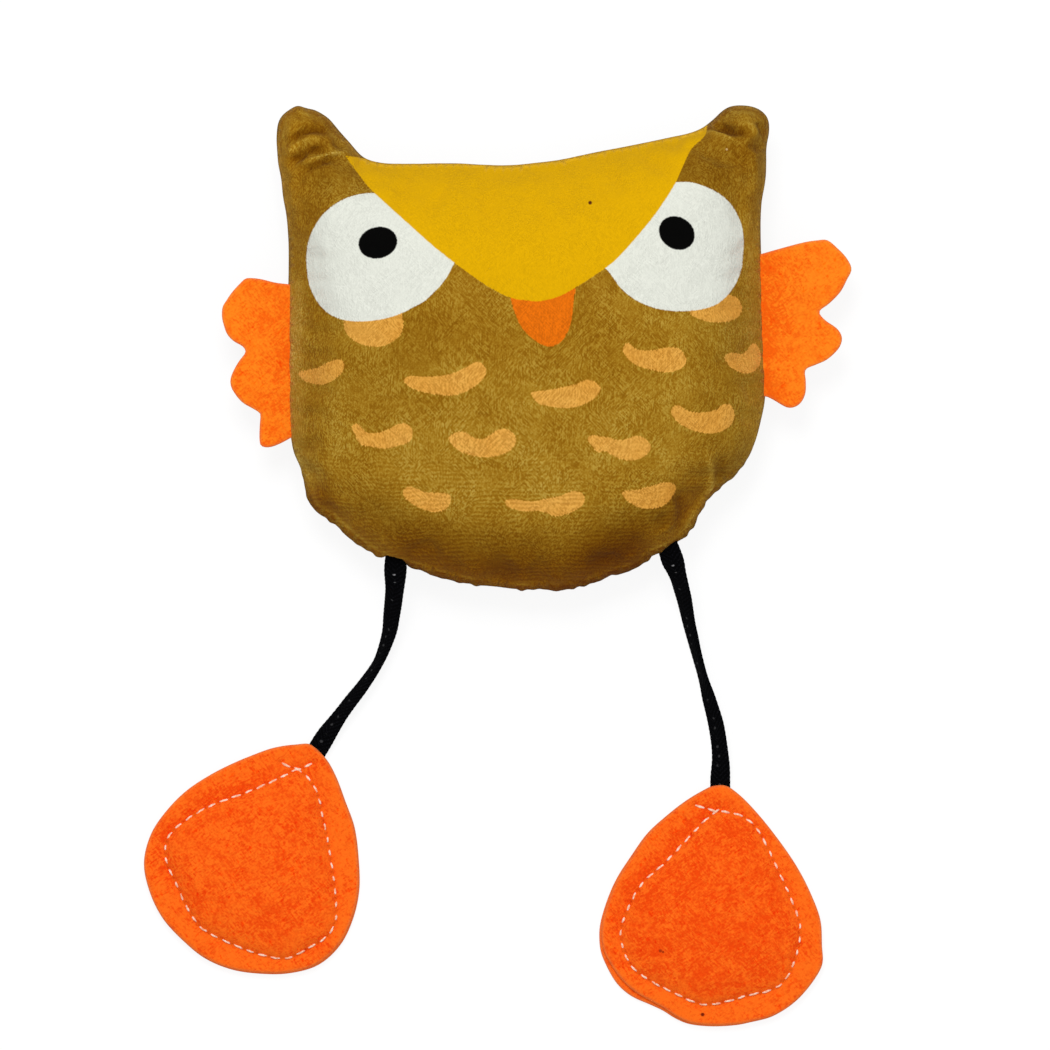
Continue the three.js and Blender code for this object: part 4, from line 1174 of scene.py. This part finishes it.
def make_filling(skins, body_loop):
    """Fibre that fills the body, with a hollow at its back for the pouch."""
    gap = 2.3  # from the outside of the plush, whose own thickness is within it
    loop = evenly(inset(evenly(body_loop, 2.0, closed=True), gap), 2.4, closed=True)
    loop = loop[depth_in(body_loop, loop) > gap * 0.8]
    xy, faces = flat_net(loop, FILLING_SPACING)
    rim, count = len(loop), len(xy)
    upper = lined_up(skins[1], xy, 1, gap, 0)
    lower = lined_up(skins[-1], xy, -1, gap, gap)
    low, high = (np.array(corner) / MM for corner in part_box("catnip_pouch"))
    middle, half = (low + high)[:2] / 2, (high - low)[:2] / 2
    wider, clearance, thinnest = 3.5, 0.6, 0.4
    reach = np.linalg.norm((xy - middle) / (half + wider), axis=1)
    lower[:, 2] = np.maximum(lower[:, 2], (high[2] + clearance) * np.clip((1 - reach) * 4, 0, 1))
    upper[:, 2] = np.maximum(upper[:, 2], lower[:, 2] + thinnest)
    upper[:rim, 2] = SEAM_Z
    points = np.vstack([upper, lower[rim:]])
    faces = faces + underside_of(faces, rim, count)
    piece = new_piece("fibre_filling", points, faces, wadding())
    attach(piece, "body")
    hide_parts("filling")


def make_pouch():
    """Cotton pouch of catnip: a flat seam round a small cushion."""
    low, high = (np.array(corner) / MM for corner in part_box("catnip_pouch"))
    middle, half = (low + high) / 2, (high - low) / 2
    ring, round_corner = circle(96), 0.55
    loop = middle[:2] + np.sign(ring) * np.abs(ring) ** round_corner * half[:2]
    hem = 1.6
    seam_height = low[2] + (high[2] - low[2]) / 3
    most_room = room_inside(loop, middle[None, :2])[0]

    def face(xy, sign, rise):
        full = np.clip((room_inside(loop, xy) - hem) / (most_room - hem), 0, 1) ** 0.6
        crumpled = 0.1 * grain(raised(xy, 0), 3.0, 31)
        return seam_height + 0.3 * sign + rise * full + sign * crumpled

    points, faces = plate(
        loop, POUCH_SPACING,
        lambda xy, depth: face(xy, 1, high[2] - seam_height - 0.4),
        lambda xy, depth: face(xy, -1, low[2] - seam_height + 0.4),
    )
    piece = new_piece("catnip_pouch_cloth", points, faces, plain_cotton())
    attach(piece, "body")
    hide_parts("catnip_pouch")


# Wings

EDGE_FUZZ = (0.25, 0.4)  # how strong the painted highlight at a cut edge is, and how far in, in millimetres


def loose_fibres(loop, points):
    """How much painted highlight each point gets, where fibres that stand out of a cut edge would catch the
    light.
    """
    most, reach = EDGE_FUZZ
    return most * at_edge(loop, points, reach)


class OWL_OT_wings(bpy.types.Operator):
    """Cuts the two felt wings, with the edge that is caught in the side seam"""

    bl_idname = "owl.wings"
    bl_label = "Wings"

    def execute(self, context):
        colour = tuple(context.scene.owl_colours.wing_felt)
        material = felt("wing_felt", srgb("#F6620C"), colour)
        for name, wing in WINGS.items():
            side = wing["side"]
            loop = evenly(np.vstack([smooth(wing["edge"], steps=5), wing["root"]]), 0.8, closed=True)
            fold = JOINT[f"wing_{name}_fold"]

            def face(xy, depth, sign):
                from_fold = (xy[:, 0] - fold[0]) * side
                out = np.maximum(from_fold, 0)
                droop = 0.35 * np.clip(out / 6, 0, 1) * grain(raised(xy, 0), 9.0, 41) - 0.012 * out**1.5
                thick = FELT * np.clip(0.62 + (from_fold + 1) * 0.12, 0.62, 1)
                edge_fall = np.clip(1 - depth / 0.7, 0, 1)
                half = thick / 2 * np.sqrt(1 - 0.75 * edge_fall**2)
                rough = 0.07 * grain(raised(xy, sign * 4.0), 1.4, 42)
                return SEAM_Z + droop + sign * (half + rough * np.clip(depth, 0, 1))

            points, faces = plate(
                loop, FELT_SPACING,
                lambda xy, depth: face(xy, depth, 1),
                lambda xy, depth: face(xy, depth, -1),
            )
            piece = new_piece(f"wing_{name}_felt", points, faces, material)
            # Redder towards the root and all over, and painted shade along the cut edge
            from_root = (points[:, 0] - fold[0]) * side
            at_root, all_over = wing["drawn_in"]
            drawn = all_over + at_root * np.clip(1 - from_root / 11, 0, 1) ** 1.5
            keep_values(piece, drawn_in=drawn + 0.8 * at_edge(loop, points, 0.45),
                        loose_fibres=loose_fibres(loop, points))
            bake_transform(piece)
            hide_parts(f"wing_{name}", f"wing_{name}_seam_tab")
        return {"FINISHED"}


# Legs


def tape_frames(route, leans, bows):
    """Middle, width and thickness directions of a leg's tape, and how far along it each one is."""
    line = evenly(smooth(route, steps=12), TAPE_SPACING)
    share = np.linspace(0, 1, len(line))
    window = np.hanning(15) / np.hanning(15).sum()

    def softened(table):
        values = np.interp(share, *np.array(table).T)
        return np.convolve(np.pad(values, 7, mode="edge"), window, mode="valid")

    line[:, 0] += softened(bows)
    along = unit(np.gradient(line, axis=0))
    tilt = np.radians(softened(leans))[:, None]
    level = unit(np.cross((0, 0, 1), along))
    across = level * np.cos(tilt) + np.cross(along, level) * np.sin(tilt)
    length = lengths_along(line)[-1]
    return line, across, np.cross(along, across), share * length, length


def tape_stretch(line, across, through, at, width, thickness):
    """A closed length of braided tape: rounded edges, and yarns that cross in a herringbone."""
    sides = 28
    shape = circle(sides)
    shape = np.sign(shape) * np.abs(shape) ** (0.5, 0.7) * (width / 2, thickness / 2)
    rings, rest = [], []
    for middle, u, v, place in zip(line, across, through, at):
        braid = np.abs(np.sin(math.pi * (place + np.abs(shape[:, :1])) / YARN_PITCH)) - 0.5
        flared = 1 + 0.14 * bell(place, 4)  # wider where it is sewn in flat
        rings.append(middle + shape[:, :1] * flared * (1 + 0.035 * braid) * u
                     + shape[:, 1:] * (1 + 0.10 * braid) * v)
        rest.append(np.column_stack([shape[:, 0], np.full(sides, place), shape[:, 1]]))
    faces = [
        (k * sides + i, k * sides + (i + 1) % sides, (k + 1) * sides + (i + 1) % sides, (k + 1) * sides + i)
        for k in range(len(rings) - 1) for i in range(sides)
    ]
    faces.append(tuple(reversed(range(sides))))
    faces.append(tuple(range((len(rings) - 1) * sides, len(rings) * sides)))
    return np.vstack(rings), faces, np.vstack(rest)


class OWL_OT_legs(bpy.types.Operator):
    """Lays the two legs of braided tape from the bottom seam to the feet"""

    bl_idname = "owl.legs"
    bl_label = "Legs"

    def execute(self, context):
        sizes = context.scene.owl_sizes
        material = braided_tape(context.scene.owl_colours)
        width, thickness = sizes.tape_width / MM, sizes.tape_thickness / MM
        joined_at = 2.0  # the free tape starts this far from its fold lines
        for name, leg in LEGS.items():
            hip, ankle = JOINT[f"leg_{name}_hip"], JOINT[f"foot_{name}_ankle"]
            route = np.array(ROUTES[name], float) + (hip[0], hip[1], 0)
            line, across, through, at, length = tape_frames(route, leg["leans"], leg["bows"])
            into_foot = unit((line[-1] - line[-2]) * (1, 1, 0))
            from_seam = unit((line[4] - line[0]) * (1, 1, 0))
            parts = {
                "seam_end": (-SEAM_DEPTH, joined_at),
                "tape": (joined_at, length - joined_at),
                "ankle_end": (length - joined_at, length + SEAM_DEPTH),
            }
            for part, (start, end) in parts.items():
                places = np.linspace(start, end, max(8, round((end - start) / TAPE_SPACING)))
                middle, u, v = (read_off(values, at, places) for values in (line, across, through))
                middle += np.minimum(places, 0)[:, None] * from_seam
                middle += np.maximum(places - length, 0)[:, None] * into_foot
                points, faces, rest = tape_stretch(middle, u, v, places, width, thickness)
                piece = new_piece(f"leg_{name}_{part}", points, faces, material)
                set_places(piece, rest)
                if part == "seam_end":
                    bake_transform(piece)
                    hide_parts(f"leg_{name}_body_end")
                elif part == "ankle_end":
                    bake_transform(piece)
                    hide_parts(f"leg_{name}_foot_end")
                else:
                    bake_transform(piece)
                    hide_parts(f"leg_{name}_upper", f"leg_{name}_lower")
        return {"FINISHED"}


# Feet


def rounded_edge(depth, reach, drop):
    """How far a face drops near its cut edge: all the way at the edge, and not at all beyond the reach."""
    return drop * (1 - np.sqrt(1 - np.clip(1 - depth / reach, 0, 1) ** 2))


def stitches(line, top, sizes):
    """Separate stitches of two-ply thread, each diving into the felt at both ends."""
    pitch, long = sizes.stitch_pitch / MM, sizes.stitch_length / MM
    radius = sizes.thread_thickness / MM / 2
    dive = 0.45
    along = lengths_along(line)
    rings, sides = 9, 10
    shares = np.linspace(-1, 1, rings)
    arch = np.sqrt(np.maximum(1 - shares**2, 0))
    girth = radius * (0.35 + 0.65 * arch**0.5)
    angles = 2 * math.pi * np.arange(sides) / sides
    ply = girth[:, None] * (1 + 0.13 * np.cos(2 * (angles - 2.2 * shares[:, None])))
    points, faces = [], []
    for k in range(int(along[-1] / pitch) + 1):
        middle = (k + 0.5) * pitch
        if middle + long / 2 > along[-1]:
            break
        way = unit(np.diff(read_off(line, along, middle + np.array([-1, 1])), axis=0)[0])
        beside = np.array([-way[1], way[0]])
        shown = long * (0.55 + 0.4 * abs(way[0])) * (1 + 0.12 * math.sin(k * 2.3 + 0.7))
        lean = 0.3 * math.sin(k * 5.1)
        xy = read_off(line, along, middle + shares * shown / 2) + beside * (lean * shares * 0.5)[:, None]
        surface = top(xy, np.full(rings, 5.0)).mean()
        z = surface - dive + (radius * 0.7 + dive) * arch**0.7
        first = k * rings * sides
        flat = xy[:, None] + beside * (np.cos(angles) * ply)[..., None]
        points.append(np.dstack([flat, z[:, None] + np.sin(angles) * ply]).reshape(-1, 3))
        for j in range(rings - 1):
            for i in range(sides):
                a, b = first + j * sides + i, first + j * sides + (i + 1) % sides
                faces.append((a, a + sides, b + sides, b))
        faces.append(tuple(first + i for i in range(sides)))
        faces.append(tuple(first + (rings - 1) * sides + i for i in reversed(range(sides))))
    return np.vstack(points), faces


class OWL_OT_feet(bpy.types.Operator):
    """Makes the two feet: back felt, wadding, front felt and stitches"""

    bl_idname = "owl.feet"
    bl_label = "Feet"

    def execute(self, context):
        sizes, colours = context.scene.owl_sizes, context.scene.owl_colours
        cloth = felt("foot_felt", srgb("#F04808"), tuple(colours.foot_felt))
        thread = spun_thread(colours)
        stuffing = wadding()
        pitch = sizes.stitch_pitch / MM
        for name, leg in LEGS.items():
            loop = evenly(smooth(leg["edge"], closed=True, steps=6), FELT_SPACING, closed=True)
            line = smooth(leg["stitches"], steps=8)
            ring = evenly(smooth(leg["stitches"][2:-2], closed=True, steps=8), 1.0, closed=True)
            if signed_area(ring) < 0:
                ring = ring[::-1]
            centre = ring.mean(axis=0)

            def dome(xy):
                return np.where(inside(ring, xy), fullness(ring, xy, centre) ** 0.62, 0)

            def top(xy, depth):
                gap, place = nearest_on(line, xy)
                phase = np.cos(2 * math.pi * place / pitch)
                groove = (0.42 + 0.20 * phase) * bell(gap, 0.9)
                pull = 0.16 * phase * np.exp(-gap / 2.2) * np.clip(gap, 0, 1)
                rim_swell = 0.25 * np.clip(gap / 2.5, 0, 1) * ~inside(ring, xy)
                felted = grains(raised(xy, 0), (0.10, 1.5, 51), (0.14, 4.0, 52), (0.25, 12.0, 53))
                rise = 2 * FELT - 0.15 + (PAD_RISE - 0.3) * dome(xy) - groove + pull + rim_swell
                return rise + felted * np.clip(depth / 2, 0.2, 1) - rounded_edge(depth, 0.9, 0.85)

            points, faces = plate(
                loop, FELT_SPACING, top, lambda xy, depth: FELT + 0.05 + (PAD_RISE - 0.5) * dome(xy))
            front = new_piece(f"foot_{name}_front_felt", points, faces, cloth)
            xy = points[:len(points) // 2, :2]
            within = inside(ring, xy)
            gap, _ = nearest_on(ring, xy, closed=True)
            # Painted shade: redder inside the stitch line, more so away from it, so that the flat rim looks
            # lit, and redder outside the line on its upper left, where its shadow falls
            up_left = np.clip(unit(xy - centre) @ (-0.7, 0.7), 0, 1)
            over_pad = leg["drawn_in"] * np.clip(gap / 3, 0.3, 1) * within
            beside_line = 1.2 * up_left * bell(gap - 1.2, 3.0) * ~within
            gap, place = nearest_on(line, xy)
            from_hole = np.abs((place / pitch + 0.5) % 1 - 0.5) * pitch
            keep_values(front, drawn_in=over_pad + beside_line,
                        needle_holes=0.4 * bell(gap, 0.4) * bell(from_hole, 0.45),
                        loose_fibres=loose_fibres(loop, points))
            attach(front, f"foot_{name}")
            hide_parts(f"foot_{name}_front")

            back_loop = loop + leg["back_shift"]
            if leg["back_bulge"]:
                middle, reach, out = leg["back_bulge"]
                near = bell(np.linalg.norm(back_loop - middle, axis=1), reach)
                back_loop = back_loop + unit(back_loop - centre) * (out * near)[:, None]
            points, faces = plate(
                back_loop, BACK_FELT_SPACING,
                lambda xy, depth: FELT - 0.05 - rounded_edge(depth, 0.7, 0.6),
                lambda xy, depth: rounded_edge(depth, 0.7, 0.5),
            )
            back = new_piece(f"foot_{name}_back_felt", points, faces, cloth)
            keep_values(back, loose_fibres=loose_fibres(back_loop, points))
            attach(back, f"foot_{name}")
            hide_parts(f"foot_{name}_back")

            pad_loop = evenly(inset(ring, 2.0), 1.4, closed=True)

            def pad_top(xy, depth):
                full = fullness(pad_loop, xy, centre) ** 0.7
                return FELT + 0.1 + (PAD_RISE - 1.2) * full * np.clip(depth, 0.05, 1)

            points, faces = plate(pad_loop, WADDING_SPACING, pad_top, lambda xy, depth: FELT + 0.02)
            pad = new_piece(f"foot_{name}_wadding", points, faces, stuffing)
            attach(pad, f"foot_{name}")
            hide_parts(f"foot_{name}_padding")

            points, faces = stitches(line, top, sizes)
            sewn = new_piece(f"foot_{name}_stitches", points, faces, thread)
            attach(sewn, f"foot_{name}")
            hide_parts(f"foot_{name}_stitching")
        return {"FINISHED"}


# Stage

# What the picture is centred on and how wide it is, in millimetres
PICTURE_MIDDLE = (0.39, -45.5)
PICTURE_WIDTH = 273.0

# The rest of the stage is in metres and watts: each lamp's place, side and power
CAMERA_DISTANCE = 12.0
SENSOR_WIDTH = 36.0  # this one in millimetres
FLOOR_REACH = 3.0
FLOOR_BELOW = 0.0002
LAMPS = {
    "key_light": ((-0.15, 0.7, 1.5), 0.6, 12.5),
    "fill_light": ((0.7, -0.5, 1.6), 1.2, 2.5),
}


def two_ways(tree, unseen, seen):
    """One look for the light that falls on the toy, and another for what the camera sees straight away, in a
    shine or through something."""
    camera, shine, through = (
        add_node(tree, "LightPath", out=f"Is {kind} Ray") for kind in ("Camera", "Glossy", "Transmission"))
    either = add_node(tree, "Math", shine, through, operation="MAXIMUM")
    either = add_node(tree, "Math", camera, either, operation="MAXIMUM")
    return add_node(tree, "MixShader", either, unseen, seen)


def white_paper():
    """Matt white paper: white to the camera, with the toy's soft shadow on it."""
    material = bpy.data.materials.new("white_paper")
    material.use_nodes = True
    tree = material.node_tree
    output = tree.nodes["Material Output"]
    tree.nodes.remove(tree.nodes["Principled BSDF"])
    dull = add_node(tree, "BsdfDiffuse", Color=srgb("#B4B4B4"))
    paper = add_node(tree, "BsdfDiffuse", Color=(0.15, 0.15, 0.15, 1))
    glow = add_node(tree, "Emission", Color=srgb("#FFFFFF"), Strength=0.875)
    bright = add_node(tree, "AddShader", paper, glow)
    tree.links.new(two_ways(tree, dull, bright), output.inputs["Surface"])
    return material


class OWL_OT_stage(bpy.types.Operator):
    """Sets the pale floor, the soft light and the camera straight above"""

    bl_idname = "owl.stage"
    bl_label = "Stage"

    def execute(self, context):
        scene = context.scene
        scene.view_settings.view_transform = "Standard"
        mesh = bpy.data.meshes.new("floor")
        corners = [(x * FLOOR_REACH, y * FLOOR_REACH, 0) for x, y in ((-1, -1), (1, -1), (1, 1), (-1, 1))]
        mesh.from_pydata(corners, [], [(0, 1, 2, 3)])
        mesh.materials.append(white_paper())
        floor = bpy.data.objects.new("floor", mesh)
        floor.location.z = -FLOOR_BELOW
        scene.collection.objects.link(floor)

        world = bpy.data.worlds.new("studio")
        world.use_nodes = True
        scene.world = world
        tree = world.node_tree
        output = tree.nodes["World Output"]
        tree.nodes.remove(tree.nodes["Background"])
        soft, white = (add_node(tree, "Background", Color=srgb("#FFFFFF"), Strength=s) for s in (0.6, 1.0))
        tree.links.new(two_ways(tree, soft, white), output.inputs["Surface"])

        for name, (place, side, power) in LAMPS.items():
            lamp = bpy.data.lights.new(name, "AREA")
            lamp.shape = "SQUARE"
            lamp.size = side
            lamp.energy = power
            light = bpy.data.objects.new(name, lamp)
            light.location = place
            light.rotation_euler = (-Vector(place)).to_track_quat("-Z", "Y").to_euler()
            scene.collection.objects.link(light)

        camera_data = bpy.data.cameras.new("camera")
        camera_data.sensor_width = SENSOR_WIDTH
        camera_data.lens = SENSOR_WIDTH * CAMERA_DISTANCE / (PICTURE_WIDTH * MM)
        camera_data.clip_end = 40.0
        camera = bpy.data.objects.new("camera", camera_data)
        x, y = PICTURE_MIDDLE
        camera.location = (x * MM, y * MM, SEAM_Z * MM + CAMERA_DISTANCE)
        scene.collection.objects.link(camera)
        scene.camera = camera
        return {"FINISHED"}


class OWL_PT_panel(bpy.types.Panel):
    """Lists the owl's pieces, sizes and colours"""

    bl_idname = "OWL_PT_panel"
    bl_label = "Owl toy"
    bl_space_type = "VIEW_3D"
    bl_region_type = "UI"
    bl_category = "Owl toy"

    def draw(self, context):
        for operator in OPERATORS:
            self.layout.operator(operator.bl_idname)
        for group in (context.scene.owl_sizes, context.scene.owl_colours):
            for name in group.__annotations__:
                self.layout.prop(group, name)


OPERATORS = (OWL_OT_stage, OWL_OT_legs, OWL_OT_body, OWL_OT_wings, OWL_OT_feet)
CLASSES = (OwlSizes, OwlColours, *OPERATORS, OWL_PT_panel)


def register():
    for each in CLASSES:
        bpy.utils.register_class(each)
    bpy.types.Scene.owl_sizes = PointerProperty(type=OwlSizes)
    bpy.types.Scene.owl_colours = PointerProperty(type=OwlColours)


def unregister():
    del bpy.types.Scene.owl_colours
    del bpy.types.Scene.owl_sizes
    for each in reversed(CLASSES):
        bpy.utils.unregister_class(each)


def main():
    register()
    bpy.ops.owl.stage()
    bpy.ops.owl.legs()
    bpy.ops.owl.body()
    bpy.ops.owl.wings()
    bpy.ops.owl.feet()


if __name__ == "__main__":
    main()
